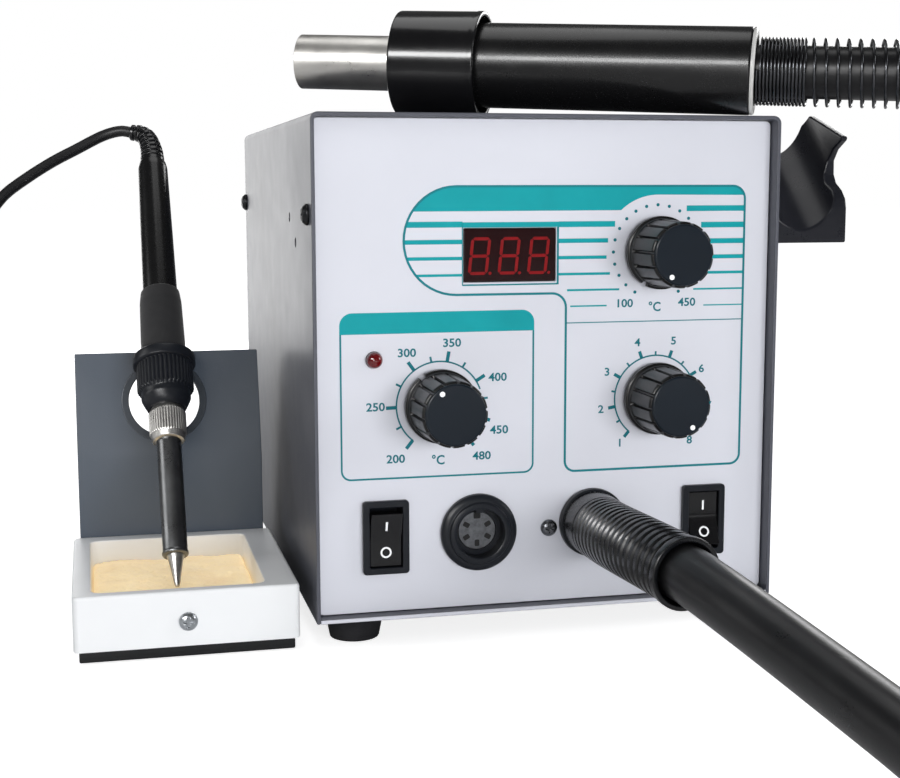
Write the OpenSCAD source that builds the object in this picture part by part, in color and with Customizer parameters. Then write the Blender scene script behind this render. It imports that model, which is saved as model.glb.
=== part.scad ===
// Two-in-one hot air rework and soldering station with its handpiece, iron and iron stand.
// Millimetres. X runs across the front, Y to the back, Z up from the table.

/* [Case] */
// Width of the case over the cover
case_w = 184; // [170:1:200]
// Height of the case without its feet
case_h = 190; // [182:1:205]
// Depth of the case
case_d = 232; // [215:1:250]
// Thickness of the sheet steel
sheet = 1.5; // [1.2:0.1:2]
// Outer radius of the cover's folded top edges
cover_fold_r = 3; // [2.2:0.1:5]
// Depth of the front panel behind the cover's front edge
panel_recess = 6; // [4:0.5:9]
// Thickness of the printed front panel
panel_t = 2; // [1.5:0.1:3]
// Gap round the front panel
panel_gap = 0.3; // [0.2:0.1:0.6]

/* [Feet] */
// Height of a rubber foot
foot_h = 10; // [8:0.5:14]
// Diameter of a foot at the case
foot_d = 23; // [20:0.5:28]
// Distance of a foot's centre from the case's sides
foot_inset = 17; // [16:0.5:26]
// Diameter of a foot screw's shank
foot_screw_d = 4; // [3:0.1:5]

/* [Front panel layout] */
// Distance of both dials on the right from the centre line
dial_right_x = 44.3; // [40:0.1:48]
// Distance of the soldering dial on the left from the centre line
dial_left_x = 43; // [38:0.1:48]
// Height of the two lower dials above the case's bottom
dial_low_z = 80.7; // [76:0.1:84]
// Height of the air temperature dial above the case's bottom
dial_high_z = 137.6; // [132:0.1:142]
// Distance of the switches from the centre line
switch_x = 64.5; // [60:0.1:68]
// Height of the switches above the case's bottom
switch_z = 31; // [27:0.1:36]
// Distance of the iron's socket on the left from the centre line
socket_x = 28; // [24:0.1:32]
// Height of the socket above the case's bottom
socket_z = 31; // [26:0.1:36]
// Distance of the hose from the centre line
hose_x = 18; // [15:0.1:22]
// Height of the hose above the case's bottom
hose_z = 32.5; // [28:0.1:36]

/* [Display] */
// Width of the display window
display_w = 36; // [30:0.5:40]
// Height of the display window
display_h = 20; // [16:0.5:22]
// Distance of the display's centre on the left from the centre line
display_x = 15.6; // [12:0.1:20]
// Height of the display's centre above the case's bottom
display_z = 137.4; // [132:0.1:142]
// Diameter of the heater indicator's lens
led_d = 5; // [3:0.5:6]

/* [Knobs] */
// Diameter of a knob's skirt
knob_skirt_d = 30; // [28:0.5:32]
// Diameter of a knob's fluted body
knob_body_d = 26; // [24:0.5:27]
// Height of a knob
knob_h = 24.5; // [20:0.5:28]
// Number of flutes round a knob
knob_flutes = 16; // [12:1:20]
// Gap between a knob and the panel
knob_gap = 1.5; // [1:0.1:2.5]
// Diameter of a knob's spindle
spindle_d = 6; // [4:0.1:6.35]
// Radial clearance of a spindle in its bush
spindle_play = 0.05; // [0.02:0.01:0.1]

/* [Switches] */
// Width of a switch's bezel
bezel_w = 17.8; // [16:0.1:20]
// Height of a switch's bezel
bezel_h = 28.4; // [26:0.1:31]
// Thickness of a bezel in front of the panel
bezel_t = 2.4; // [1.8:0.1:3]
// Tilt of a pressed rocker
rocker_tilt = 9; // [6:0.5:11]

/* [Iron socket] */
// Diameter of the socket's collar
socket_d = 30; // [27:0.5:32]
// Diameter of the socket's mouth
socket_bore_d = 19; // [17:0.5:21]
// Depth of the contacts' front behind the panel's face
socket_depth = 2; // [1:0.5:5]
// Diameter of the contacts' block
contact_d = 15; // [13:0.5:16]

/* [Handpiece] */
// Outer diameter of the nozzle pipe
pipe_d = 22; // [20:0.5:24]
// Length of the pipe in front of the collar
pipe_out = 42.5; // [36:0.5:50]
// Diameter of the plastic collar
collar_d = 42.6; // [40:0.2:45]
// Length of the collar
collar_len = 35; // [30:0.5:40]
// Diameter of the grip
grip_d = 33.5; // [31:0.5:35]
// Length of the grip behind the collar
grip_len = 106.4; // [96:0.2:112]
// Turn of the handpiece from the case's width as it lies
lie_turn = 28; // [20:1:32]
// Distance of the grip's end from the centre line
tail_x = 80.3; // [74:0.1:84]
// Distance of the grip's end from the case's front edge
tail_y = 2; // [1:0.5:6]
// Length of the tail spring
spring_len = 60; // [50:1:62]
// Length of its closed turns
spring_closed = 18; // [12:1:22]
// Outer diameter of the spring
spring_d = 26; // [24.5:0.5:28]
// Thickness of the spring wire
wire_d = 1.3; // [1:0.1:1.6]

/* [Hose] */
// Diameter of the hose
hose_d = 20; // [18:0.5:21]
// Diameter of the ribbed relief at the panel
relief_d = 25; // [24:0.5:28]

/* [Cradle] */
// Radius of the trough
trough_r = 17.2; // [17:0.1:20]
// Slope of the trough
trough_slope = 42; // [34:1:46]
// Thickness of the cradle's outer wall
cradle_wall = 3; // [2.5:0.5:5]
// Least thickness of the cradle against the case
cradle_pad = 4.3; // [4:0.1:8]

/* [Iron stand] */
// Gap between the case's left side and the sponge tray
stand_gap = 5.55; // [4.2:0.05:12]
// Width of the sponge tray
tray_w = 83.5; // [80:0.5:86]
// Depth of the sponge tray
tray_d = 98; // [92:0.5:104]
// Distance of the tray's front behind the case's front edge
tray_y = 5; // [2:0.5:10]
// Height of the tray's rim above the table
tray_top = 25; // [23:0.5:28]
// Thickness of the base plate under the tray
base_t = 4; // [3:0.5:5]
// Wall of the tray
tray_wall = 1.5; // [1.2:0.1:2]
// Width of the stand's upright plate
plate_w = 78; // [74:0.5:82]
// Height of the upright's fold above the table
fold_z = 58; // [54:0.5:62]
// Height of the upright's top edge above the table
plate_top = 102.5; // [98:0.5:108]
// Depth of the stand behind the tray
stand_back = 47; // [40:1:54]
// Diameter of the hole in the upright
rest_hole_d = 30; // [28.5:0.5:32]
// Height of the hole above the table
rest_hole_z = 82; // [80:0.5:84]
// Depth of the sponge's top below the rim
sponge_low = 8; // [6:0.5:9]

/* [Soldering iron] */
// Lean of the iron from upright
iron_lean = 36; // [34:0.5:38]
// Distance of the iron's tip behind the case's front edge
tip_y = 41; // [39:0.5:43]
// Distance of the iron from the stand's middle, to the left
iron_off = 1.9; // [0:0.1:4]
// Diameter of the barrel
barrel_d = 10.2; // [9:0.1:11]
// Diameter of the barrel nut
nut_d = 15.4; // [14:0.1:16]
// Diameter of the fluted collar
fluted_d = 23.6; // [22:0.1:24]
// Diameter of the stop ring
stop_d = 26.2; // [25:0.1:26.6]
// Diameter of the foam sleeve
sleeve_d = 18.8; // [17:0.1:19.4]
// Diameter of the handle where it leaves the sleeve
handle_d = 14.8; // [13.5:0.1:15.5]
// Diameter of the iron's cord
cord_d = 5; // [4.5:0.1:5.5]

/* [Hidden] */
$fn = 48;

// Gap between a piece and what it rests on
rest_gap = 0.2;
// Depth by which a cutting solid runs past a face
past = 1;
// Radial clearance of a screw in its hole
screw_play = 0.2;
// Gap between the end of a hose or cord and what it meets
face_gap = 0.1;

case_top = foot_h + case_h;
panel_y = panel_recess;
wall_y = panel_y + panel_t;
inside_y = wall_y + sheet;
back_y = case_d - sheet;
floor_z = foot_h + sheet;
inner_w = case_w - 2 * sheet;

stand_x = case_w / 2 + stand_gap + tray_w / 2;
iron_x = stand_x + iron_off;
tray_left = -stand_x - tray_w / 2;
tray_back = tray_y + tray_d;
rear_proud = 9;
cradle_x = case_w / 2 + cradle_pad + trough_r;
cradle_out = cradle_x + trough_r + cradle_wall;

handle_tilt = atan((collar_d - grip_d) / 2 / grip_len);
tail_reach = spring_len * cos(handle_tilt);

// The origin stands on the table below the middle of the set, cords left out
set_right = tail_x + tail_reach * cos(lie_turn) + hose_d / 2 * sin(lie_turn);
set_front = tail_y - tail_reach * sin(lie_turn) - hose_d / 2 * cos(lie_turn);
mid_x = (tray_left + set_right) / 2;
mid_y = (set_front + case_d + rear_proud) / 2;

black = "#1b1c1f";
dark_cover = "#4a4c55";
pale_panel = "#d6d9e2";
steel_tint = "#9a9da0";
stand_blue = "#46505c";

module place() translate([-mid_x, -mid_y, 0]) children();
// Lays a shape drawn with its own Z outwards on the panel's face
module on_panel(x, z, y = panel_y) translate([x, y, foot_h + z]) rotate([90, 0, 0]) children();
module block(low, high) translate(low) cube(high - low);
module rounded(w, h, r) {
    square([w - 2 * r, h], center = true);
    square([w, h - 2 * r], center = true);
    for (x = [-1, 1], y = [-1, 1]) translate([x * (w / 2 - r), y * (h / 2 - r)]) circle(r);
}
module ring(outer, inner, h) difference() {
    cylinder(d = outer, h = h);
    translate([0, 0, -past]) cylinder(d = inner, h = h + 2 * past);
}
module pan_head(d, h, slot = 1) difference() {
    rotate_extrude() polygon([[0, 0], [d / 2, 0], [d / 2, h * 0.35], [d * 0.36, h * 0.85], [d * 0.2, h], [0, h]]);
    for (a = [0, 90]) rotate(a) translate([-d * 0.27, -slot / 2, h * 0.55]) cube([d * 0.54, slot, h]);
}

// Swept tubes: each ring lies across the route, with its own radius
function unit(v) = v / norm(v);
function along(p, i) = let (n = len(p) - 1)
    i == 0 ? unit(p[1] - p[0]) : i == n ? unit(p[n] - p[n - 1]) : unit(p[i + 1] - p[i - 1]);
function upright(t) = abs(t[2]) < 0.9 ? [0, 0, 1] : [0, 1, 0];
function carry(t, side) = unit(side - (side * t) * t);
function sides_at(p, i) = i == 0 ? carry(along(p, 0), cross(upright(along(p, 0)), along(p, 0)))
    : carry(along(p, i), sides_at(p, i - 1));
function all_sides(p, i = 0, last = []) = i == len(p) ? last
    : all_sides(p, i + 1, concat(last, [i == 0 ? sides_at(p, 0) : carry(along(p, i), last[i - 1])]));
module sweep(p, radii, n) {
    side = all_sides(p);
    count = len(p);
    points = [for (i = [0:count - 1], k = [0:n - 1])
        let (t = along(p, i), up = cross(t, side[i]), a = 360 * k / n)
        p[i] + radii[i] * (cos(a) * side[i] + sin(a) * up)];
    walls = [for (i = [0:count - 2], k = [0:n - 1], half = [0, 1])
        let (a = i * n + k, b = i * n + (k + 1) % n)
        half == 0 ? [a, a + n, b] : [b, a + n, b + n]];
    near_end = [[for (k = [0:n - 1]) k]];
    far_end = [[for (k = [n - 1:-1:0]) (count - 1) * n + k]];
    polyhedron(points, concat(walls, near_end, far_end), convexity = 6);
}
module tube(p, d, n) sweep(p, [for (i = p) d / 2], n);
// A point on a smooth curve through four route points
function bend(a, b, c, d, t) = 0.5 * (2 * b + (c - a) * t + (2 * a - 5 * b + 4 * c - d) * t * t
    + (3 * b - a - 3 * c + d) * t * t * t);
function pick(p, i) = i < 0 ? 2 * p[0] - p[1] : i >= len(p) ? 2 * p[len(p) - 1] - p[len(p) - 2] : p[i];
function smooth(p, n) = concat([for (i = [0:len(p) - 2], k = [0:n - 1])
    bend(pick(p, i - 1), p[i], p[i + 1], pick(p, i + 2), k / n)], [p[len(p) - 1]]);

// Case

display_hole_play = 0.2;
side_screw_places = [[9, 153], [case_d - 5, 156]];
// The left side has its own pair of holes for a cradle
left_hole_places = [[44, 141.6], [61, 151.2]];
cradle_hole_places = [[36, 166], [50, 178]];
cradle_hole_d = 3.6;
panel_screw_x = 0.4;
panel_screw_z = 31;
gland_hole_d = 20.4;
socket_hole_d = 25.4;
bush_d = 7;
screw_d = 3;
led_x = 68.3;
led_z = 98.8;
led_hole_d = led_d + 1.4;
switch_hole_w = bezel_w - 2.8;
switch_hole_h = bezel_h - 2.6;
dials = [[-dial_left_x, dial_low_z], [dial_right_x, dial_high_z], [dial_right_x, dial_low_z]];

// Everything that passes through the printed panel and the wall behind it
module panel_cuts(from_y, to_y) {
    depth = to_y - from_y + 2 * past;
    for (d = dials) on_panel(d[0], d[1], to_y + past) cylinder(d = bush_d + 2 * screw_play, h = depth);
    on_panel(-socket_x, socket_z, to_y + past) cylinder(d = socket_hole_d, h = depth);
    on_panel(hose_x, hose_z, to_y + past) cylinder(d = gland_hole_d, h = depth);
    on_panel(panel_screw_x, panel_screw_z, to_y + past) cylinder(d = screw_d + 2 * screw_play, h = depth);
    on_panel(-led_x, led_z, to_y + past) cylinder(d = led_hole_d, h = depth);
    for (x = [-switch_x, switch_x]) on_panel(x, switch_z, to_y + past)
        translate([-switch_hole_w / 2, -switch_hole_h / 2, 0]) cube([switch_hole_w, switch_hole_h, depth]);
    on_panel(-display_x, display_z, to_y + past)
        translate([-display_w / 2 - display_hole_play, -display_h / 2 - display_hole_play, 0])
        cube([display_w + 2 * display_hole_play, display_h + 2 * display_hole_play, depth]);
}

foot_places = [for (x = [-1, 1], y = [foot_inset, case_d - foot_inset]) [x * (case_w / 2 - foot_inset), y]];
inlet_x = 48;
inlet_z = 42;
inlet_w = 27;
inlet_h = 20;
fuse_x = 12;
fuse_z = 42;
fuse_d = 12;

module upright_wall(y) translate([0, y + sheet, (foot_h + case_top - sheet) / 2]) rotate([90, 0, 0])
    linear_extrude(sheet) rounded(inner_w, case_h - sheet, cover_fold_r - sheet);
module chassis_pan() color(dark_cover) place() difference() {
    union() {
        block([-inner_w / 2, 0, foot_h], [inner_w / 2, case_d, floor_z]);
        upright_wall(wall_y);
        upright_wall(back_y);
        // Side flanges that the cover's screws hold
        for (s = [-1, 1]) {
            block([s > 0 ? inner_w / 2 - sheet : -inner_w / 2, inside_y, floor_z],
                [s > 0 ? inner_w / 2 : -inner_w / 2 + sheet, inside_y + 9, case_top - sheet - 6]);
            block([s > 0 ? inner_w / 2 - sheet : -inner_w / 2, back_y - 12, floor_z],
                [s > 0 ? inner_w / 2 : -inner_w / 2 + sheet, back_y, case_top - sheet - 6]);
        }
    }
    panel_cuts(wall_y, inside_y);
    for (p = foot_places) translate([p[0], p[1], foot_h - past])
        cylinder(d = foot_screw_d + 2 * screw_play, h = sheet + 2 * past);
    // Rear wall: inlet, fuse holder and the pump's air slots
    translate([inlet_x - inlet_w / 2, back_y - past, inlet_z - inlet_h / 2]) cube([inlet_w, sheet + 2 * past, inlet_h]);
    translate([fuse_x, case_d + past, fuse_z]) rotate([90, 0, 0]) cylinder(d = fuse_d + 0.4, h = sheet + 2 * past);
    for (i = [0:7]) translate([-62 + 7 * i, back_y - past, 110]) cube([3, sheet + 2 * past, 48]);
}

module front_panel() color(pale_panel) place() difference() {
    translate([0, wall_y, (floor_z + case_top - sheet) / 2]) rotate([90, 0, 0])
        linear_extrude(panel_t) rounded(inner_w - 2 * panel_gap, case_h - 2 * sheet - 2 * panel_gap, 2);
    panel_cuts(panel_y, wall_y);
}

module top_cover() color(dark_cover) place() difference() {
    translate([0, case_d, foot_h + case_h / 2]) rotate([90, 0, 0]) linear_extrude(case_d) difference() {
        union() {
            rounded(case_w, case_h, cover_fold_r);
            translate([-case_w / 2, -case_h / 2]) square([case_w, case_h / 2]);
        }
        union() {
            rounded(inner_w, case_h - 2 * sheet, cover_fold_r - sheet);
            translate([-inner_w / 2, -case_h / 2 - past]) square([inner_w, case_h / 2 + past]);
        }
    }
    for (s = [-1, 1], p = side_screw_places) translate([s * case_w / 2, p[0], foot_h + p[1]])
        rotate([0, 90, 0]) cylinder(d = screw_d + 2 * screw_play, h = 4 * sheet, center = true);
    for (p = left_hole_places) translate([-case_w / 2, p[0], foot_h + p[1]])
        rotate([0, 90, 0]) cylinder(d = cradle_hole_d, h = 4 * sheet, center = true);
    for (p = cradle_hole_places) translate([case_w / 2, p[0], foot_h + p[1]])
        rotate([0, 90, 0]) cylinder(d = cradle_hole_d, h = 4 * sheet, center = true);
}

module cover_screws() color(black) place() for (s = [-1, 1], p = side_screw_places)
    translate([s * case_w / 2, p[0], foot_h + p[1]]) rotate([0, s * 90, 0]) {
        pan_head(8, 2.6);
        translate([0, 0, -sheet]) cylinder(d = screw_d, h = sheet);
    }

module rubber_feet() color(black) place() for (p = foot_places) translate([p[0], p[1], 0]) difference() {
    cylinder(d1 = foot_d - 4, d2 = foot_d, h = foot_h);
    translate([0, 0, -past]) cylinder(d = foot_d * 0.42, h = past + foot_h * 0.4);
    translate([0, 0, -past]) cylinder(d = foot_screw_d + 2 * screw_play, h = foot_h + 2 * past);
}

module foot_screws() color(steel_tint) place() for (p = foot_places) translate([p[0], p[1], foot_h * 0.4]) {
    translate([0, 0, foot_h * 0.6 + sheet]) cylinder(d = foot_screw_d * 1.9, h = 2.6, $fn = 6);
    cylinder(d = foot_screw_d, h = foot_h * 0.6 + sheet + 1);
    translate([0, 0, -1.8]) cylinder(d = foot_screw_d * 1.8, h = 1.8);
}

// Display and indicator

window_proud = 0.3;
module display_window() color("#2a0608") place() on_panel(-display_x, display_z, wall_y)
    linear_extrude(panel_t + window_proud) rounded(display_w, display_h, 0.8);

display_depth = 7;
module display_module() color("#151515") place() on_panel(-display_x, display_z, wall_y + display_depth)
    translate([-display_w / 2 + 1, -display_h / 2 + 0.5, 0]) cube([display_w - 2, display_h - 1, display_depth]);

post_len = wall_y + display_depth - inside_y;
module display_board() color("#1f5a35") place() on_panel(-display_x, display_z, wall_y + display_depth) {
    translate([-display_w / 2 - 10, -display_h / 2 - 6, -1.6]) cube([display_w + 20, display_h + 12, 1.6]);
    for (x = [-1, 1], z = [-1, 1]) translate([x * (display_w / 2 + 6), z * (display_h / 2 + 2.5), 0])
        cylinder(d = 5, h = post_len);
}

module heater_led() color("#b3161c") place() on_panel(-led_x, led_z, inside_y + 4) {
    cylinder(d = led_d, h = inside_y + 4 - panel_y + 1.2);
    translate([0, 0, inside_y + 4 - panel_y + 1.2]) sphere(d = led_d);
    translate([0, 0, inside_y + 4 - panel_y]) cylinder(d = led_hole_d + 1.2, h = 0.8);
}

// Rocker switches

bezel_wall = 2.6;
rocker_play = 0.25;
rocker_w = bezel_w - 2 * bezel_wall - 2 * rocker_play;
rocker_h = bezel_h - 2 * bezel_wall - 2 * rocker_play - 1.4;
rocker_pin_d = 3;
rocker_pin_play = 0.05;
rocker_pin_len = switch_hole_w - 0.9;
pivot_y = panel_y + 2.2;
switch_deep = 24;
module switch_body(x) place() on_panel(x, switch_z) difference() {
    union() {
        linear_extrude(bezel_t) rounded(bezel_w, bezel_h, 1.4);
        translate([-switch_hole_w / 2 + 0.2, -switch_hole_h / 2 + 0.2, -switch_deep])
            cube([switch_hole_w - 0.4, switch_hole_h - 0.4, switch_deep + 0.1]);
        for (z = [-7, 0, 7]) translate([-2.4, z - 0.4, -switch_deep - 8]) cube([4.8, 0.8, 8.1]);
    }
    translate([-bezel_w / 2 + bezel_wall, -bezel_h / 2 + bezel_wall, -7.5])
        cube([bezel_w - 2 * bezel_wall, bezel_h - 2 * bezel_wall, 7.5 + bezel_t + past]);
    translate([0, 0, panel_y - pivot_y]) rotate([0, 90, 0])
        cylinder(d = rocker_pin_d + 2 * rocker_pin_play, h = switch_hole_w + past, center = true);
}
// The rocker's face is two planes that meet in a shallow V; the pin lies across its middle
rocker_face = 3.4;
module rocker(x, tilt) place() translate([x, pivot_y, foot_h + switch_z]) rotate([tilt, 0, 0]) rotate([90, 0, 90]) {
    translate([0, 0, -rocker_w / 2]) linear_extrude(rocker_w)
        polygon([[-rocker_face - 1.7, rocker_h / 2], [-rocker_face, 0], [-rocker_face - 1.7, -rocker_h / 2],
            [0.4, -rocker_h / 2 + 0.9], [3.2, -3], [3.2, 3], [0.4, rocker_h / 2 - 0.9]]);
    cylinder(d = rocker_pin_d, h = rocker_pin_len, center = true);
}
module power_switch_body() color(black) switch_body(-switch_x);
module air_switch_body() color(black) switch_body(switch_x);
module power_rocker() color("#26272b") rocker(-switch_x, rocker_tilt);
module air_rocker() color("#26272b") rocker(switch_x, -rocker_tilt);

// Knobs and their potentiometers

nut_h = 2;
bush_out = 5;
pot_d = 16.5;
pot_deep = 9;
module pot(p) place() on_panel(p[0], p[1]) difference() {
    union() {
        cylinder(d = bush_d, h = bush_out);
        cylinder(d = 10, h = nut_h, $fn = 6);
        translate([0, 0, panel_y - inside_y]) cylinder(d = bush_d, h = inside_y - panel_y + 0.1);
        translate([0, 0, panel_y - inside_y - pot_deep]) cylinder(d = pot_d, h = pot_deep);
        translate([-7, -pot_d / 2 - 5, panel_y - inside_y - pot_deep]) cube([14, 8, 1.2]);
    }
    translate([0, 0, panel_y - inside_y - pot_deep + 2]) cylinder(d = spindle_d + 2 * spindle_play, h = 30);
}

cap_d = knob_body_d - 2.4;
skirt_h = 4.5;
knob_hollow_d = 13.5;
knob_hollow_h = bush_out - knob_gap + 0.8;
module knob(p, pointer) place() on_panel(p[0], p[1], panel_y - knob_gap) {
    rotate(-pointer) difference() {
        union() {
            rotate_extrude() polygon([[0, 0], [knob_skirt_d / 2, 0], [knob_skirt_d / 2, skirt_h - 1.6],
                [knob_body_d / 2 + 0.4, skirt_h], [0, skirt_h]]);
            difference() {
                cylinder(d1 = knob_body_d + 0.6, d2 = knob_body_d - 0.8, h = knob_h - 0.8);
                for (i = [0:knob_flutes - 1]) rotate(360 * (i + 0.5) / knob_flutes)
                    translate([knob_body_d / 2 + 0.75, 0, skirt_h]) cylinder(d = 3.2, h = knob_h, $fn = 16);
            }
            translate([0, 0, knob_h - 0.9]) cylinder(d = cap_d, h = 0.9);
        }
        // Pointer dot, skirt notch and the hollow over the panel nut
        translate([0, cap_d / 2 - 3.2, knob_h - 0.5]) cylinder(d = 2.4, h = past);
        translate([-0.7, knob_skirt_d / 2 - 1.2, -past]) cube([1.4, 2, skirt_h + past]);
        translate([0, 0, -past]) cylinder(d = knob_hollow_d, h = knob_hollow_h + past);
    }
    translate([0, 0, knob_gap - (inside_y - panel_y) - pot_deep + 2.3 - 2 * knob_gap])
        cylinder(d = spindle_d, h = knob_h - 6.3 + inside_y - panel_y + pot_deep - 2.3 + knob_gap);
}
iron_temp_rest = -33;
air_temp_rest = -150;
air_flow_rest = 150;
module iron_temp_pot() color("#7a7d80") pot(dials[0]);
module air_temp_pot() color("#7a7d80") pot(dials[1]);
module air_flow_pot() color("#7a7d80") pot(dials[2]);
module iron_temp_knob() color("#222428") knob(dials[0], iron_temp_rest);
module air_temp_knob() color("#222428") knob(dials[1], air_temp_rest);
module air_flow_knob() color("#222428") knob(dials[2], air_flow_rest);

// Socket for the iron's plug

contact_t = 5;
module iron_socket() color(black) place() on_panel(-socket_x, socket_z) difference() {
    union() {
        rotate_extrude() polygon([[0, 0], [socket_d / 2, 0], [socket_d / 2, 2], [socket_d / 2 - 1.6, 3.4],
            [socket_bore_d / 2 + 2.2, 3.4], [socket_bore_d / 2 + 1.2, 4.6], [0, 4.6]]);
        translate([0, 0, -socket_depth - contact_t - 8])
            cylinder(d = socket_hole_d - 0.4, h = socket_depth + contact_t + 8.1);
        translate([0, 0, panel_y - inside_y - 3]) cylinder(d = socket_hole_d + 5, h = 3);
    }
    translate([0, 0, -socket_depth]) cylinder(d = socket_bore_d, h = socket_depth + 10);
    translate([0, 0, -socket_depth - contact_t]) cylinder(d = contact_d + 0.2, h = contact_t + past);
}
contact_ring_r = 5;
module socket_insert() color("#8e9296") place() on_panel(-socket_x, socket_z) difference() {
    translate([0, 0, -socket_depth - contact_t]) cylinder(d = contact_d, h = contact_t);
    for (a = [30:60:330]) rotate(a) translate([contact_ring_r, 0, -socket_depth - contact_t + 1])
        cylinder(d = 1.9, h = contact_t, $fn = 16);
}

// Hose outlet and panel screw

gland_flange_t = 3;
module hose_gland() color(black) place() on_panel(hose_x, hose_z) difference() {
    union() {
        cylinder(d = relief_d + 2, h = gland_flange_t);
        translate([0, 0, -14]) cylinder(d = gland_hole_d - 0.4, h = 14.1);
        translate([0, 0, panel_y - inside_y - 5]) cylinder(d = gland_hole_d + 8, h = 5, $fn = 6);
    }
    translate([0, 0, -15]) cylinder(d = 14, h = 14);
}
module panel_screw() color(black) place() on_panel(panel_screw_x, panel_screw_z) {
    pan_head(6.6, 2.2);
    translate([0, 0, panel_y - inside_y - 3]) cylinder(d = screw_d, h = inside_y - panel_y + 3);
}

// Inside the case

core = [66, 34, 56];
core_at = [-42, 175];
module transformer_core() color("#6b6f73") place() translate([core_at[0], core_at[1], floor_z]) difference() {
    union() {
        translate([-core[0] / 2, -core[1] / 2, 1]) cube(core);
        translate([-core[0] / 2 - 8, -core[1] / 2, 0]) cube([core[0] + 16, core[1], 1.2]);
    }
    for (x = [-1, 1]) translate([x * 16.5, 0, 12]) translate([-5.5, -core[1], 0]) cube([11, 2 * core[1], 34]);
}
module transformer_coil() color("#b98a3c") place() translate([core_at[0], core_at[1], floor_z + 12]) difference() {
    translate([-21.9, -core[1] / 2 - 10, 0.1]) cube([43.8, core[1] + 20, 33.8]);
    translate([-11.1, -core[1] / 2 - 0.1, -past]) cube([22.2, core[1] + 0.2, 40]);
}

pump_at = [34, 132];
pump_r = 29;
pump_len = 88;
mount_h = 9;
module pump_body() color("#3c3f44") place() translate([pump_at[0], pump_at[1] - pump_len / 2, floor_z + mount_h + pump_r])
    rotate([-90, 0, 0]) {
        translate([0, 0, 8]) cylinder(r = pump_r, h = pump_len - 16);
        cylinder(r = pump_r - 5, h = 8.1);
        translate([0, 0, pump_len - 8.1]) cylinder(r = pump_r - 5, h = 8.1);
        translate([-18, pump_r - 14, 14]) cube([36, 14, pump_len - 28]);
        translate([0, 8, -10]) cylinder(d = 9, h = 10.1);
    }
module pump_mounts() color(black) place() for (x = [-1, 1], y = [-1, 1])
    translate([pump_at[0] + x * 12, pump_at[1] + y * 20, floor_z]) cylinder(d = 10, h = mount_h);

inner_tube_d = 12;
tube_route = [[hose_x, panel_y + 14, foot_h + hose_z], [hose_x, panel_y + 24, foot_h + hose_z],
    [hose_x + 5, panel_y + 36, foot_h + hose_z - 0.2], [hose_x + 11, panel_y + 48, foot_h + hose_z - 0.5],
    [pump_at[0], pump_at[1] - pump_len / 2 - 20, floor_z + mount_h + pump_r - 8],
    [pump_at[0], pump_at[1] - pump_len / 2 - 10, floor_z + mount_h + pump_r - 8]];
module inner_air_tube() color("#d9dadb") place() tube(smooth(tube_route, 3), inner_tube_d, 12);

board_z = floor_z + 96;
board = [150, 92];
module control_board() color("#1f5a35") place() translate([0, inside_y + 40, 0]) {
    translate([-board[0] / 2, 0, board_z]) cube([board[0], board[1], 1.6]);
    for (x = [-1, 1], y = [8, board[1] - 8]) translate([x * (board[0] / 2 - 5), y, floor_z])
        cylinder(d = 6, h = board_z - floor_z);
    translate([-60, 50, board_z + 1.6]) cube([44, 3, 28]);
    for (i = [0:4]) translate([-58 + 9.5 * i, 44, board_z + 1.6]) cube([2, 6.1, 28]);
    translate([12, 20, board_z + 1.6]) cube([28, 20, 14]);
    for (x = [48, 62]) translate([x, 62, board_z + 1.6]) cylinder(d = 10, h = 16);
}

// Rear

module mains_inlet() color(black) place() translate([inlet_x, case_d, inlet_z]) rotate([90, 0, 180]) {
    difference() {
        union() {
            linear_extrude(2.2) rounded(inlet_w + 21, inlet_h + 4, 3);
            translate([-inlet_w / 2 + 0.2, -inlet_h / 2 + 0.2, -22]) cube([inlet_w - 0.4, inlet_h - 0.4, 22.1]);
        }
        translate([-11.8, -8, -16]) cube([23.6, 16, 30]);
        for (x = [-1, 1]) translate([x * (inlet_w / 2 + 6.5), 0, -past]) cylinder(d = 3.4, h = 10);
    }
    for (x = [-1, 0, 1]) translate([x * 7 - 1, x == 0 ? -2 : -5, -16.1]) cube([2, 4, 13]);
}
module fuse_holder() color(black) place() translate([fuse_x, case_d, fuse_z]) rotate([90, 0, 180]) {
    cylinder(d = fuse_d + 5, h = 3);
    difference() {
        cylinder(d = fuse_d - 0.6, h = rear_proud);
        translate([-0.7, -fuse_d / 2, rear_proud - 1.5]) cube([1.4, fuse_d, past + 1.5]);
    }
    translate([0, 0, -30]) cylinder(d = fuse_d, h = 30.1);
}

// Side cradle for the handpiece

cradle_front = 24;
cradle_len = 34;
cradle_low = foot_h + 140;
trough_low = foot_h + 145.3;
seat_t = 3;
module cradle_outline() {
    // Side view from the front lip: wavy front edge, raised flap and the slope under the back
    translate([cradle_front, cradle_low]) polygon([[0, 0], [14, 0], [cradle_len, 25], [cradle_len, 49],
        [cradle_len - 4, 53], [0.8, 43.2], [1.2, 41.6], [8, 38], [11.6, 33.5], [11.4, 28], [9, 24.5], [4, 21.5],
        [1, 18], [0, 14]]);
}
module trough(r) translate([cradle_x, cradle_front, trough_low + r / cos(trough_slope)])
    rotate([trough_slope - 90, 0, 0]) translate([0, 0, -80]) {
        cylinder(r = r, h = 220);
        translate([-r, -90, 0]) cube([2 * r, 90, 220]);
    }
module cradle() color(black) place() difference() {
    translate([case_w / 2, 0, 0]) rotate([90, 0, 90]) linear_extrude(cradle_out - case_w / 2) cradle_outline();
    trough(trough_r);
    for (p = cradle_hole_places) translate([case_w / 2, p[0], foot_h + p[1]]) rotate([0, 90, 0]) {
        translate([0, 0, -past]) cylinder(d = screw_d + 2 * screw_play, h = seat_t + 2 * past);
        translate([0, 0, seat_t]) cylinder(d = 7, h = cradle_pad + trough_r - seat_t);
    }
}
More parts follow.
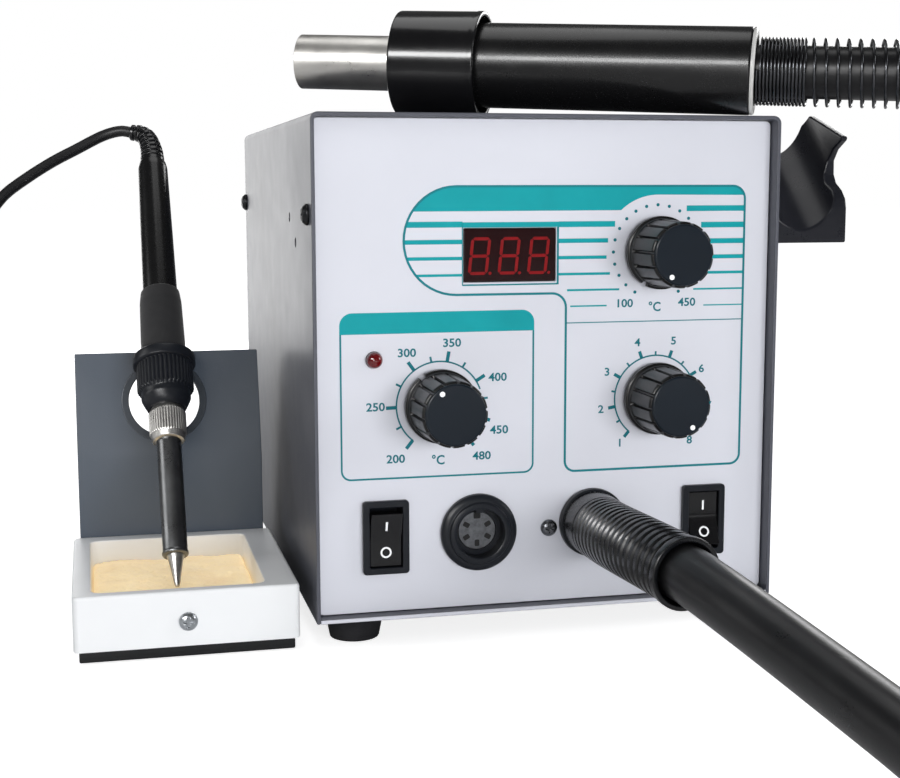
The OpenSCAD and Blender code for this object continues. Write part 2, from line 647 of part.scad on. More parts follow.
module cradle_screws() color(steel_tint) place() for (p = cradle_hole_places)
    translate([case_w / 2 + seat_t, p[0], foot_h + p[1]]) rotate([0, 90, 0]) {
        pan_head(6, 2);
        translate([0, 0, -seat_t - sheet - 4]) cylinder(d = screw_d, h = seat_t + sheet + 4);
    }

// Handpiece: drawn from the end of the grip towards the nozzle

tail_z = case_top + rest_gap + grip_d / 2 * cos(handle_tilt);
tail_dir = [cos(lie_turn) * cos(handle_tilt), -sin(lie_turn) * cos(handle_tilt), -sin(handle_tilt)];
module lying() place() translate([tail_x, tail_y, tail_z]) rotate([0, 0, 180 - lie_turn])
    rotate([0, 90 - handle_tilt, 0]) children();

handle_len = grip_len + collar_len + pipe_out;
pipe_wall = 1;
grip_wall = 2.2;
collar_wall = 3;
// The pipe is thicker where the collar holds it and wider inside round the heater core
pipe_held_d = pipe_d + 0.8;
pipe_wide_d = pipe_d - 2 * pipe_wall + 0.6;
mouth_len = 12;
core_back = 0.4;
pipe_from = grip_len + 2;
pipe_len = handle_len - pipe_from;
module nozzle_pipe() color(steel_tint) lying() translate([0, 0, pipe_from]) difference() {
    union() {
        cylinder(d = pipe_d, h = pipe_len);
        cylinder(d = pipe_held_d, h = pipe_len - pipe_out);
        translate([0, 0, 4]) cylinder(d = grip_d - 2 * grip_wall - 0.1, h = 1.5);
    }
    translate([0, 0, -past]) cylinder(d = pipe_wide_d, h = pipe_len - mouth_len + past);
    translate([0, 0, -past]) cylinder(d = pipe_d - 2 * pipe_wall, h = handle_len);
}
collar_bore = pipe_held_d / 2 + 0.3;
module handle_collar() color(black) lying() translate([0, 0, grip_len]) difference() {
    rotate_extrude() polygon([[collar_bore, collar_len - 4], [collar_bore, collar_len],
        [collar_d / 2 - 4.5, collar_len], [collar_d / 2 - 1.6, collar_len - 1.4],
        [collar_d / 2 - 0.3, collar_len - 4.2], [collar_d / 2 - 0.3, 3], [collar_d / 2, 2.4], [collar_d / 2, 0],
        [collar_d / 2 - collar_wall, 0], [collar_d / 2 - collar_wall, 5], [grip_d / 2 + 0.05, 9],
        [grip_d / 2 + 0.05, collar_len - 4]]);
}
module grip_tube() color(black) lying() {
    ring(grip_d, grip_d - 2 * grip_wall, grip_len + collar_len - 4.2);
}
ring_t = 1.2;
module tail_ring() color(black) lying() difference() {
    union() {
        translate([0, 0, -0.2]) cylinder(d = grip_d - 2 * grip_wall - 0.1, h = 8.2);
        translate([0, 0, -ring_t]) cylinder(d = grip_d - 1.6, h = ring_t);
    }
    translate([0, 0, -ring_t - past]) cylinder(d = hose_d + 0.8, h = 12);
}
module heater_core() color("#cfc8b8") lying() translate([0, 0, grip_len - 20]) {
    cylinder(d = pipe_d - 2 * pipe_wall - 1, h = handle_len - mouth_len - core_back - grip_len + 20);
    for (z = [2, 14]) translate([0, 0, z]) cylinder(d = grip_d - 2 * grip_wall - 0.4, h = 2);
}

open_turns = 9;
turn_segments = 12;
coil_r = (spring_d - wire_d) / 2;
spring_open = spring_len - spring_closed - 4;
module tail_spring() color("#2c2d30") lying() mirror([0, 0, 1]) translate([0, 0, ring_t]) {
    // Closed turns as one ribbed sleeve, then the open turns as a swept wire
    rotate_extrude() polygon(concat([[coil_r - wire_d / 2, 0]],
        [for (i = [0:12], k = [0:1]) let (p = spring_closed / 13)
            [coil_r + (k == 0 ? wire_d / 2 - 0.25 : wire_d / 2), (i + (k == 0 ? 0.02 : 0.5)) * p]],
        [[coil_r + wire_d / 2 - 0.25, spring_closed], [coil_r - wire_d / 2, spring_closed]]));
    sweep([for (i = [0:open_turns * turn_segments]) let (a = 360 * i / turn_segments)
        [coil_r * cos(a), coil_r * sin(a), spring_closed - wire_d / 2 + spring_open * i / open_turns / turn_segments]],
        [for (i = [0:open_turns * turn_segments]) wire_d / 2], 6);
}
module tail_hose() color("#202124") lying() translate([0, 0, -spring_len]) cylinder(d = hose_d, h = spring_len + 6);

tail_exit = [tail_x, tail_y, tail_z] + spring_len * tail_dir;
relief_route = [[hose_x, panel_y - gland_flange_t - face_gap, foot_h + hose_z], [18, -15, 42.5], [18.4, -35, 43.1],
    [20.1, -57, 43.2], [23, -79, 42.3]];
relief_ribs = 18;
relief_curve = smooth(relief_route, relief_ribs / 2 + 1);
relief_end = relief_curve[len(relief_curve) - 1];
relief_way = along(relief_curve, len(relief_curve) - 1);
hose_route = [tail_exit + face_gap * tail_dir, tail_exit + 14 * tail_dir,
    [164, -42, 210], [182, -51, 201], [198, -59, 187], [211, -67, 168], [219, -74, 146], [224, -82, 122],
    [226, -92, 98], [227, -104, 75], [227, -119, 54], [227, -137, 36], [227, -157, 22.5], [227, -181, 14.6],
    [225, -207, 10.9], [219, -235, 10.3], [205.5, -260, 10.3], [184.5, -279.5, 10.3], [159.5, -291.5, 10.3],
    [134, -295, 10.3], [108.5, -291.5, 10.3], [83.5, -279.5, 10.9], [63.5, -260.5, 12.8], [51, -237, 16.2],
    [44.5, -211, 20.2], [41, -184, 24.6], [34, -135, 32.4], [28, -106, 38.2], relief_end + 6 * relief_way, relief_end];
module hose() color("#202124") place() tube(hose_route, hose_d, 12);
module hose_relief() color(black) place() sweep(relief_curve, [for (i = [0:len(relief_curve) - 1])
    i % 2 == 0 || i < 4 ? relief_d / 2 : relief_d / 2 - 1.3], 16);

// Iron stand

stand_mid = -stand_x;
plate_y = tray_back;
// The iron leans on the upright's top edge, so the edge is placed from the iron's axis
tip_z = tray_top - sponge_low + rest_gap;
axis_y_at_top = tip_y + (plate_top - tip_z) * tan(iron_lean);
edge_y = axis_y_at_top + (sleeve_d / 2 + rest_gap) / cos(iron_lean);
plate_lean = atan((edge_y - plate_y) / (plate_top - fold_z));
module on_slope() translate([stand_mid, plate_y, fold_z]) rotate([-plate_lean, 0, 0]) children();
hole_up = (rest_hole_z - fold_z) / cos(plate_lean);
hole_x = -iron_x - stand_mid;
slope_len = (plate_top - fold_z) / cos(plate_lean);

// Thickness of the leaning plate, measured along Y
lean_t = sheet / cos(plate_lean);
fold_drop = (lean_t - sheet) / tan(plate_lean);
cheek_in = sheet / 2;
cheek_top = plate_top - 4;
module stand_plate() color(stand_blue) place() difference() {
    union() {
        translate([stand_mid - plate_w / 2, 0, 0]) rotate([90, 0, 90]) linear_extrude(plate_w)
            polygon([[plate_y, base_t], [plate_y + sheet, base_t], [plate_y + sheet, fold_z - fold_drop],
                [edge_y + lean_t, plate_top], [edge_y, plate_top], [plate_y, fold_z]]);
        // Cheeks folded back from both edges
        for (x = [-plate_w / 2, plate_w / 2 - sheet]) translate([stand_mid + x, 0, 0]) rotate([90, 0, 90])
            linear_extrude(sheet) polygon([[plate_y + cheek_in, base_t], [plate_y + stand_back, base_t],
                [plate_y + stand_back, base_t + 12], [edge_y + 9, cheek_top],
                [edge_y + cheek_in - 4 * tan(plate_lean), cheek_top], [plate_y + cheek_in, fold_z]]);
    }
    on_slope() translate([hole_x, -10, hole_up]) rotate([-90, 0, 0]) cylinder(d = rest_hole_d + 3, h = 20);
}
ring_proud = 1;
module stand_ring() color("#5b6470") place() on_slope() translate([hole_x, -ring_proud, hole_up]) rotate([-90, 0, 0])
    difference() {
        union() {
            cylinder(d = rest_hole_d + 6, h = ring_proud);
            cylinder(d = rest_hole_d + 2.9, h = ring_proud + sheet + 1);
        }
        translate([0, 0, -past]) cylinder(d = rest_hole_d, h = 10);
    }

recess_left = 7;
recess_right = 12.5;
recess_front = 6;
recess_back = 8;
recess_floor = base_t + 3;
recess_x0 = tray_left + recess_left;
recess_x1 = tray_left + tray_w - recess_right;
module sponge_tray() color("#e9eaec") place() difference() {
    union() {
        difference() {
            block([tray_left, tray_y, base_t], [tray_left + tray_w, tray_back - 0.05, tray_top]);
            block([tray_left + tray_wall, tray_y + tray_wall, base_t - past],
                [tray_left + tray_w - tray_wall, tray_back - tray_wall, tray_top - tray_wall]);
        }
        block([recess_x0 - tray_wall, tray_y + recess_front - tray_wall, base_t],
            [recess_x1 + tray_wall, tray_back - recess_back + tray_wall, tray_top - 0.1]);
    }
    block([recess_x0, tray_y + recess_front, recess_floor], [recess_x1, tray_back - recess_back, tray_top + past]);
    translate([-stand_x, tray_y - past, stand_screw_z]) rotate([-90, 0, 0])
        cylinder(d = screw_d + 2 * screw_play, h = tray_wall + past + 0.2);
}
module sponge() color("#f0dcb0") place() translate([(recess_x0 + recess_x1) / 2, tray_y + (recess_front + tray_d - recess_back) / 2,
    recess_floor]) linear_extrude(tray_top - sponge_low - recess_floor)
    rounded(recess_x1 - recess_x0 - 1.2, tray_d - recess_front - recess_back - 1.2, 3);
base_inset = 2;
module stand_base() color(black) place() block([tray_left + base_inset, tray_y + 0.5, 0],
    [tray_left + tray_w - base_inset, plate_y + stand_back, base_t]);
stand_screw_z = base_t + 9.5;
module stand_screws() color(steel_tint) place() {
    translate([-stand_x, tray_y, stand_screw_z]) rotate([90, 0, 0]) {
        pan_head(7, 2);
        translate([0, 0, -tray_wall]) cylinder(d = screw_d, h = tray_wall);
    }
}

// Soldering iron: drawn from the tip upwards

module leaning() place() translate([-iron_x, tip_y, tip_z]) rotate([-iron_lean, 0, 0]) children();
barrel_from = 13;
nut_from = 64;
collar_from = 79;
stop_from = 99.6;
sleeve_from = 104.8;
handle_from = 137;
handle_to = 206;
module iron_tip() color("#b9bcc0") leaning() rotate_extrude()
    polygon([[0, 0], [0.5, 0.1], [2.9, barrel_from - 2], [3.6, barrel_from - 0.3], [3.6, barrel_from + 6], [0, barrel_from + 6]]);
module iron_barrel() color("#8b8e92") leaning() translate([0, 0, barrel_from]) difference() {
    rotate_extrude() polygon([[0, 0], [barrel_d / 2 - 0.6, 0], [barrel_d / 2, 1], [barrel_d / 2, nut_from - barrel_from],
        [0, nut_from - barrel_from]]);
    translate([0, 0, -past]) cylinder(d = 7.2, h = 6 + past);
}
module barrel_nut() color("#a7a9ab") leaning() translate([0, 0, nut_from]) difference() {
    rotate_extrude() polygon([[0, 0], [nut_d / 2 - 1.4, 0], [nut_d / 2 - 0.8, 1], [nut_d / 2 - 0.8, 2.2], [nut_d / 2, 3],
        [nut_d / 2, collar_from - nut_from - 2], [nut_d / 2 - 1.2, collar_from - nut_from], [0, collar_from - nut_from]]);
    for (i = [0:23]) rotate(15 * i) translate([nut_d / 2 + 0.1, 0, 3.2])
        cylinder(d = 0.9, h = collar_from - nut_from - 5.6, $fn = 13);
}
flutes = 24;
module iron_collar() color("#26272a") leaning() translate([0, 0, collar_from]) difference() {
    union() {
        rotate_extrude() polygon([[0, 0], [nut_d / 2 + 0.4, 0], [fluted_d / 2 - 2.6, 2.4], [fluted_d / 2 - 1.4, 5],
            [fluted_d / 2 - 1.6, 7.6], [fluted_d / 2, 8.8], [fluted_d / 2, stop_from - collar_from],
            [stop_d / 2, stop_from - collar_from], [stop_d / 2, sleeve_from - collar_from - 1],
            [stop_d / 2 - 1, sleeve_from - collar_from], [0, sleeve_from - collar_from]]);
    }
    for (i = [0:flutes - 1]) rotate(360 * i / flutes) translate([fluted_d / 2 + 0.35, 0, 9.4])
        cylinder(d = 1.7, h = stop_from - collar_from - 9.8, $fn = 13);
}
module iron_sleeve() color("#2b2c2e") leaning() translate([0, 0, sleeve_from])
    rotate_extrude() polygon([[0, 0], [sleeve_d / 2, 0], [sleeve_d / 2 - 0.5, handle_from - sleeve_from - 4],
        [handle_d / 2 + 0.8, handle_from - sleeve_from], [0, handle_from - sleeve_from]]);
module iron_handle() color(black) leaning() translate([0, 0, handle_from])
    rotate_extrude() polygon([[0, 0], [handle_d / 2, 0], [handle_d / 2 - 0.3, 30],
        [handle_d / 2 - 0.8, handle_to - handle_from - 3], [handle_d / 2 - 1.4, handle_to - handle_from], [0, handle_to - handle_from]]);

iron_dir = [0, sin(iron_lean), cos(iron_lean)];
handle_end = [-iron_x, tip_y, tip_z] + handle_to * iron_dir;
relief_turn = [handle_end + face_gap * iron_dir, handle_end + 7 * iron_dir, handle_end + [-1.5, 9, 11.5],
    handle_end + [-4.5, 12, 14], handle_end + [-9, 13.6, 14.8]];
cord_ribs = 12;
turn_curve = smooth(relief_turn, cord_ribs / 2);
turn_last = len(turn_curve) - 1;
relief_out = turn_curve[turn_last];
cord_way = along(turn_curve, turn_last);
module iron_relief() color(black) place() sweep(turn_curve, [for (i = [0:turn_last])
    5.6 - 1.9 * i / turn_last - (i % 2 == 0 ? 0 : 0.8)], 12);

// The iron's cord: an arch to the left, down to the table, then a neat coil with the plug beside it
coil_at = [-256, 130];
coil_mid_r = 30;
coil_rows = 2;
coil_cols = 3;
coil_top = coil_rows * cord_d;
cord_route = [relief_out + face_gap * cord_way, relief_out + 5 * cord_way, [-163, 178, 197], [-175, 176, 190.7], [-186, 173, 184.8],
    [-198, 169, 177], [-208, 165, 169], [-216, 161, 157], [-221, 157, 141], [-224.5, 152, 116], [-226, 147, 88],
    [-227, 142, 60], [-226.5, 136, 36], [-226, 130.5, 20],
    [coil_at[0] + coil_mid_r, coil_at[1], coil_top + face_gap]];
plug_r = 10;
plug_from = 194;
coil_back = coil_at[1] + coil_mid_r + coil_cols * cord_d / 2;
plug_route = [[coil_at[0], coil_back + face_gap, 5], [-256, 173, 5.2], [-256, 180, 6.8], [-256, 187, 9.2],
    [-256, 190, plug_r], [coil_at[0], plug_from - face_gap, plug_r]];
plug_x = coil_at[0];
module iron_cord() color("#1f2022") place() {
    tube(cord_route, cord_d, 8);
    tube(plug_route, cord_d, 8);
}
module iron_cord_coil() color("#1f2022") place() translate([coil_at[0], coil_at[1], 0]) rotate_extrude()
    translate([coil_mid_r, coil_rows * cord_d / 2]) rounded(coil_cols * cord_d, coil_rows * cord_d, cord_d / 2 - 0.05);
plug_len = 46;
module iron_plug() color(black) place() translate([plug_x, plug_from, plug_r]) rotate([-90, 0, 0]) {
    difference() {
        rotate_extrude() polygon([[0, 0], [3.6, 0], [5.4, 12], [7.6, 12.5], [8.4, 15], [8.4, 26], [plug_r - 0.2, 27],
            [plug_r - 0.2, plug_len], [0, plug_len]]);
        translate([0, 0, plug_len - 9]) cylinder(d = 15.4, h = 10);
    }
    for (a = [30:60:330]) rotate(a) translate([contact_ring_r, 0, plug_len - 9.1]) cylinder(d = 1.5, h = 7, $fn = 13);
}

chassis_pan();
front_panel();
top_cover();
cover_screws();
rubber_feet();
foot_screws();
display_window();
display_module();
display_board();
heater_led();
power_switch_body();
power_rocker();
air_switch_body();
air_rocker();
iron_temp_pot();
iron_temp_knob();
air_temp_pot();
air_temp_knob();
air_flow_pot();
air_flow_knob();
iron_socket();
socket_insert();
hose_gland();
panel_screw();
transformer_core();
transformer_coil();
pump_body();
pump_mounts();
inner_air_tube();
control_board();
mains_inlet();
fuse_holder();
cradle();
cradle_screws();
nozzle_pipe();
handle_collar();
grip_tube();
tail_ring();
heater_core();
tail_spring();
tail_hose();
hose();
hose_relief();
stand_plate();
stand_ring();
sponge_tray();
sponge();
stand_base();
stand_screws();
iron_tip();
iron_barrel();
barrel_nut();
iron_collar();
iron_sleeve();
iron_handle();
iron_relief();
iron_cord();
iron_cord_coil();
iron_plug();
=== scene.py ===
import math

import bmesh
import bpy
from mathutils import Matrix, Vector, geometry, noise


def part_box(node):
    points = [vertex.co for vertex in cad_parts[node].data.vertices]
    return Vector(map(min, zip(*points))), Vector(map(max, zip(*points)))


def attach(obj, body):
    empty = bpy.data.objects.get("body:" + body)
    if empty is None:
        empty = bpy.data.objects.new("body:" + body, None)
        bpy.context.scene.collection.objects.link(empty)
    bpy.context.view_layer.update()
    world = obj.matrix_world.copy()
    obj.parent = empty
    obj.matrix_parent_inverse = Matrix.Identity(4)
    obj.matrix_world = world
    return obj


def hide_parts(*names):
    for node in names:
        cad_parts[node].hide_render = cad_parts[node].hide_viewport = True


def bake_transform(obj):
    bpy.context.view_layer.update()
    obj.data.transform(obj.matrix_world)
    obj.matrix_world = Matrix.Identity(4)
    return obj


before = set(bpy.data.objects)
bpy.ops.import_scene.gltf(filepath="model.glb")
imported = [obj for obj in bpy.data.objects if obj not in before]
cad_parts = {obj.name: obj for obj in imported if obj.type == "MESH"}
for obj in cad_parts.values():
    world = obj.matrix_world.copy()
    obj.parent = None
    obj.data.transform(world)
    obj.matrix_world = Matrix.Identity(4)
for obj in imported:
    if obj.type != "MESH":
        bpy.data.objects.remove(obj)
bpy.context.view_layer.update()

mm = 0.001
caseSet = dict(width=184, panelFace=6)
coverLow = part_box("top_cover")[0]
middleX = -caseSet["width"] / 2 - coverLow[0] / mm  # the CAD origin, seen from the case's front edge
middleY = -coverLow[1] / mm


# millimetres from the case's front edge to metres in the frame
def at(x, y, z):
    return Vector(((x - middleX) * mm, (y - middleY) * mm, z * mm))


def turned(axis, angle):
    return Matrix.Rotation(math.radians(angle), 4, axis)


def placed(x, y, z):
    return Matrix.Translation(at(x, y, z))


# local x to the right, y up and z out of the front panel, from a point on it
def onPanel(x, z, y=caseSet["panelFace"]):
    return placed(x, y, z) @ turned("X", 90)


# a value sets the socket, and another node's output is linked to it
def feed(tree, socket, value):
    if isinstance(value, bpy.types.NodeSocket):
        tree.links.new(value, socket)
    else:
        socket.default_value = value


# a new node's outputs; its inputs are given by name or number, and its settings by keyword
def addNode(tree, kind, inputs=(), **settings):
    node = tree.nodes.new(kind)
    for key, value in settings.items():
        setattr(node, key, value)
    for key, value in dict(inputs).items():
        feed(tree, node.inputs[key], value)
    return node.outputs


def mathOf(tree, operation, *values):
    return addNode(tree, "ShaderNodeMath", enumerate(values), operation=operation)[0]


def vectorOf(tree, *values):
    return addNode(tree, "ShaderNodeCombineXYZ", enumerate(values))[0]


# camera, lamps and floor

cameraSet = dict(eye=(-170.3, -538.8, 171.6), forward=(0.2321, 0.9637, -0.1321),
                 side=(0.9721, -0.2344, -0.0023), lens=59.54)
# a lamp marked soft makes no highlights, one marked shine makes nothing else
lampSet = dict(
    key=dict(at=(230, -1330, 190), aim=(-20, 20, 80), size=(1000, 360), watts=14.5, use="soft"),
    strip=dict(at=(-850, -1020, 640), aim=(0, 30, 215), size=(760, 230), watts=16.0, use="shine"),
    low=dict(at=(-420, -1300, 240), aim=(-40, 20, 120), size=(380, 300), watts=3.0, use="shine"),
    rim=dict(at=(700, 620, 480), aim=(60, -180, 30), size=(460, 320), watts=2.6, use="shine"),
    left=dict(at=(-800, 120, 330), aim=(-100, 130, 110), size=(300, 420), watts=1.2),
    right=dict(at=(820, -320, 420), aim=(90, -60, 100), size=(160, 420), watts=2.4),
    top=dict(at=(-40, 160, 900), aim=(-20, 60, 100), size=(500, 500), watts=1.5),
    back=dict(at=(-300, 1100, 270), aim=(-92, 120, 150), size=(600, 540), watts=2.5))
worldSet = dict(light=0.31, white=1.0, mirrored=0.1)
floorSet = dict(reach=12, under=0.0006, color=(0.84, 0.84, 0.85, 1), glow=0.78)


def placeCamera():
    forward = Vector(cameraSet["forward"]).normalized()
    side = Vector(cameraSet["side"])
    side = (side - side.dot(forward) * forward).normalized()
    up = side.cross(forward)
    camera = bpy.data.objects.new("camera", bpy.data.cameras.new("camera"))
    bpy.context.collection.objects.link(camera)
    camera.data.lens = cameraSet["lens"]
    camera.data.sensor_width = 36
    camera.data.clip_start = 0.02
    camera.matrix_world = placed(*cameraSet["eye"]) @ Matrix((side, up, -forward)).transposed().to_4x4()
    bpy.context.scene.camera = camera


def placeLamps():
    for name, lamp in lampSet.items():
        light = bpy.data.lights.new(name, "AREA")
        light.energy = lamp["watts"]
        light.shape = "RECTANGLE"
        light.size, light.size_y = [s * mm for s in lamp["size"]]
        holder = bpy.data.objects.new(name, light)
        bpy.context.collection.objects.link(holder)
        holder.visible_camera = False
        holder.visible_glossy = lamp.get("use") != "soft"
        holder.visible_diffuse = lamp.get("use") != "shine"
        spot, aim = at(*lamp["at"]), at(*lamp["aim"])
        facing = (aim - spot).to_track_quat("-Z", "Y").to_matrix().to_4x4()
        holder.matrix_world = Matrix.Translation(spot) @ facing


# what the camera sees, straight or through something clear, differs from what lights the object
def rayMix(tree, plain, shown):
    ray = addNode(tree, "ShaderNodeLightPath")
    seen = mathOf(tree, "MAXIMUM", ray["Is Camera Ray"], ray["Is Transmission Ray"])
    return addNode(tree, "ShaderNodeMixShader", enumerate((seen, plain, shown)))[0]


def lightWorld():
    world = bpy.data.worlds.new("studio")
    bpy.context.scene.world = world
    world.use_nodes = True
    tree = world.node_tree
    tree.nodes.clear()
    ray = addNode(tree, "ShaderNodeLightPath")
    level = worldSet["light"]
    for kind, key in (("Glossy", "mirrored"), ("Transmission", "white"), ("Camera", "white")):
        mix = {"Factor": ray["Is " + kind + " Ray"], "A": level, "B": worldSet[key]}
        level = addNode(tree, "ShaderNodeMix", mix)["Result"]
    glow = addNode(tree, "ShaderNodeBackground", {"Color": (1, 1, 1, 1), "Strength": level})
    addNode(tree, "ShaderNodeOutputWorld", {"Surface": glow[0]})


def layFloor():
    material = bpy.data.materials.new("floorWhite")
    material.use_nodes = True
    tree = material.node_tree
    tree.nodes.clear()
    pale = addNode(tree, "ShaderNodeBsdfDiffuse", {"Color": floorSet["color"]})[0]
    glow = addNode(tree, "ShaderNodeEmission", {"Strength": floorSet["glow"]})[0]
    both = addNode(tree, "ShaderNodeAddShader", enumerate((pale, glow)))[0]
    addNode(tree, "ShaderNodeOutputMaterial", {"Surface": rayMix(tree, pale, both)})
    mesh = bpy.data.meshes.new("floor")
    reach, under = floorSet["reach"], -floorSet["under"]
    corners = [(-reach, -reach, under), (reach, -reach, under), (reach, reach, under), (-reach, reach, under)]
    mesh.from_pydata(corners, [], [(0, 1, 2, 3)])
    mesh.materials.append(material)
    floor = bpy.data.objects.new("floor", mesh)
    bpy.context.collection.objects.link(floor)


placeCamera()
placeLamps()
lightWorld()
layFloor()
bpy.context.scene.view_settings.view_transform = "Standard"
print("camera, lamps and floor are in place")


# finishes

def tint(color):
    return tuple(((c / 255 + 0.055) / 1.055) ** 2.4 if c > 10 else c / 255 / 12.92 for c in color)


# mottle is how far the colour drifts, smudge how far the roughness does, grain the height of the fine bump
# in mm, and cells makes that bump pitted; glow is painted light, the surface giving off its own colour
def finishOf(name, color, rough, metal=0.0, mottle=0.08, mottleSize=30, smudge=0.1, smudgeSize=12, grain=0.02,
             grainSize=0.5, stretch=(1, 1, 1), turn=(0, 0, 0), level=0.5, coat=0.0, coatRough=0.08, sheen=0.0,
             dust=0.0, cells=False, glow=0.0):
    material = bpy.data.materials.new(name)
    material.use_nodes = True
    tree = material.node_tree
    place = addNode(tree, "ShaderNodeTexCoord")["Object"]

    def cloud(size, detail, spot=place):
        inputs = {"Scale": 1 / (size * mm), "Detail": detail, "Vector": spot}
        return addNode(tree, "ShaderNodeTexNoise", inputs)["Fac"]

    def spread(field, low, high):
        inputs = {"Value": field, "From Min": 0.3, "From Max": 0.7, "To Min": low, "To Max": high}
        return addNode(tree, "ShaderNodeMapRange", inputs)["Result"]

    dark, light = [(*[min(1, c * part + more) for c in tint(color)], 1)
                   for part, more in ((1 - mottle, 0), (1 + mottle, dust))]
    drift = {"Factor": spread(cloud(mottleSize, 3), 0, 1), "A": dark, "B": light}
    base = addNode(tree, "ShaderNodeMix", drift, data_type="RGBA")["Result"]
    spin = {"Vector": place, "Rotation": [math.radians(a) for a in turn], "Scale": stretch}
    mapped = addNode(tree, "ShaderNodeMapping", spin)["Vector"]
    if cells:
        pits = {"Scale": 1 / (grainSize * mm), "Vector": mapped}
        fine = addNode(tree, "ShaderNodeTexVoronoi", pits)["Distance"]
    else:
        fine = cloud(grainSize, 2, mapped)
    wide = spread(cloud(smudgeSize, 4), rough * (1 - smudge), min(1, rough * (1 + smudge)))
    small = spread(fine, -rough * smudge / 2, rough * smudge / 2)
    bump = addNode(tree, "ShaderNodeBump", {"Distance": grain * mm, "Strength": 1, "Height": fine})["Normal"]
    values = {"Base Color": base, "Roughness": mathOf(tree, "ADD", wide, small), "Normal": bump,
              "Metallic": metal, "Specular IOR Level": level, "Coat Weight": coat,
              "Coat Roughness": coatRough, "Sheen Weight": sheen, "Emission Strength": glow}
    if glow:
        values["Emission Color"] = base
    for label, value in values.items():
        feed(tree, tree.nodes["Principled BSDF"].inputs[label], value)
    return material


coverPaint = finishOf("coverPaint", (74, 76, 85), 0.4, mottle=0.05, mottleSize=60, smudge=0.04, grain=0.01,
                      grainSize=0.55)
panelPrint = finishOf("panelPrint", (205, 207, 216), 0.42, mottle=0.015, mottleSize=50, grain=0.006,
                      grainSize=0.4)
tealBand = finishOf("tealBand", (6, 148, 155), 0.45, level=0.2, mottle=0.05, mottleSize=14, grain=0.004)
tealLine = finishOf("tealLine", (16, 118, 128), 0.45, level=0.2, mottle=0.06, mottleSize=10, grain=0.004)
inkNumber = finishOf("inkNumber", (16, 106, 118), 0.5, level=0.2, mottle=0.06, mottleSize=8, grain=0.004)
whiteMark = finishOf("whiteMark", (236, 238, 240), 0.45, mottle=0.03, mottleSize=3, grain=0.006)
glossBlack = finishOf("glossBlack", (13, 13, 15), 0.2, level=0.35, mottle=0.12, grain=0.008, grainSize=0.7,
                      coat=0.25)
cradleBlack = finishOf("cradleBlack", (25, 26, 32), 0.3, level=0.3, mottle=0.1, grain=0.01, grainSize=0.6)
satinBlack = finishOf("satinBlack", (21, 24, 30), 0.36, level=0.3, mottle=0.12, grain=0.015, grainSize=0.4)
mattBlack = finishOf("mattBlack", (18, 19, 21), 0.62, level=0.3, mottle=0.14, grain=0.04, grainSize=0.6)
knobBlack = finishOf("knobBlack", (15, 14, 14), 0.33, level=0.28, mottle=0.14, mottleSize=8, grain=0.012,
                     grainSize=0.5, coat=0.1)
knobCap = finishOf("knobCap", (13, 22, 31), 0.38, level=0.2, mottle=0.06, mottleSize=12, grain=0.004,
                   grainSize=0.4, coat=0.15)
hoseRubber = finishOf("hoseRubber", (21, 21, 23), 0.33, level=0.35, mottle=0.12, mottleSize=25, grain=0.01,
                      grainSize=0.8, smudge=0.16)
reliefRubber = finishOf("reliefRubber", (12, 13, 16), 0.26, level=0.45, mottle=0.1, grain=0.01, grainSize=0.6,
                        coat=0.1)
cordRubber = finishOf("cordRubber", (22, 22, 24), 0.42, level=0.35, mottle=0.12, grain=0.01, grainSize=0.4)
footRubber = finishOf("footRubber", (20, 20, 24), 0.72, level=0.3, mottle=0.15, grain=0.05, grainSize=0.8,
                      dust=0.01)
screwBlack = finishOf("screwBlack", (26, 27, 30), 0.3, metal=0.55, mottle=0.2, mottleSize=3, grain=0.01)
screwDark = finishOf("screwDark", (104, 106, 110), 0.26, metal=1, mottle=0.2, mottleSize=3, grain=0.01)
screwSteel = finishOf("screwSteel", (172, 176, 180), 0.28, metal=1, mottle=0.1, mottleSize=3, grain=0.008,
                      grainSize=0.3)
potSteel = finishOf("potSteel", (150, 152, 156), 0.32, metal=1, mottle=0.1, mottleSize=5, grain=0.01)
pipeSteel = finishOf("pipeSteel", (196, 194, 190), 0.36, metal=1, mottle=0.08, mottleSize=14, grain=0.008,
                     grainSize=0.35, stretch=(0.12, 1, 1), turn=(0, 0, 28), smudge=0.22)
barrelSteel = finishOf("barrelSteel", (112, 113, 114), 0.32, metal=1, mottle=0.16, mottleSize=9, grain=0.01,
                       grainSize=0.3, smudge=0.25)
tipPlate = finishOf("tipPlate", (186, 184, 180), 0.3, metal=1, mottle=0.3, mottleSize=3, grain=0.01)
contactGray = finishOf("contactGray", (96, 98, 102), 0.42, metal=0.5, mottle=0.25, mottleSize=1.5, grain=0.05,
                       grainSize=0.7)
# near-black, also used as painted shade in the socket insert's contact slots
blackAndSlotShade = finishOf("blackAndSlotShade", (12, 12, 13), 0.6, mottle=0.1, grain=0.01)
windowRed = finishOf("windowRed", (28, 2, 4), 0.18, mottle=0.3, mottleSize=14, grain=0.001, level=0.22)
segmentRed = finishOf("segmentRed", (124, 8, 14), 0.4, level=0.15, mottle=0.1, mottleSize=2, grain=0.002)
lensRed = finishOf("lensRed", (96, 5, 11), 0.12, mottle=0.2, mottleSize=2, grain=0.002, coat=0.5)
boardGreen = finishOf("boardGreen", (24, 92, 52), 0.3, mottle=0.15, mottleSize=4, grain=0.02, grainSize=1.5)
coreIron = finishOf("coreIron", (96, 98, 102), 0.5, metal=0.6, mottle=0.15, grain=0.05, grainSize=0.6,
                    stretch=(1, 1, 0.05))
coilTape = finishOf("coilTape", (190, 140, 52), 0.35, mottle=0.1, mottleSize=10, grain=0.03, grainSize=1)
pumpAlloy = finishOf("pumpAlloy", (128, 132, 138), 0.45, metal=0.8, mottle=0.1, grain=0.06, grainSize=0.8)
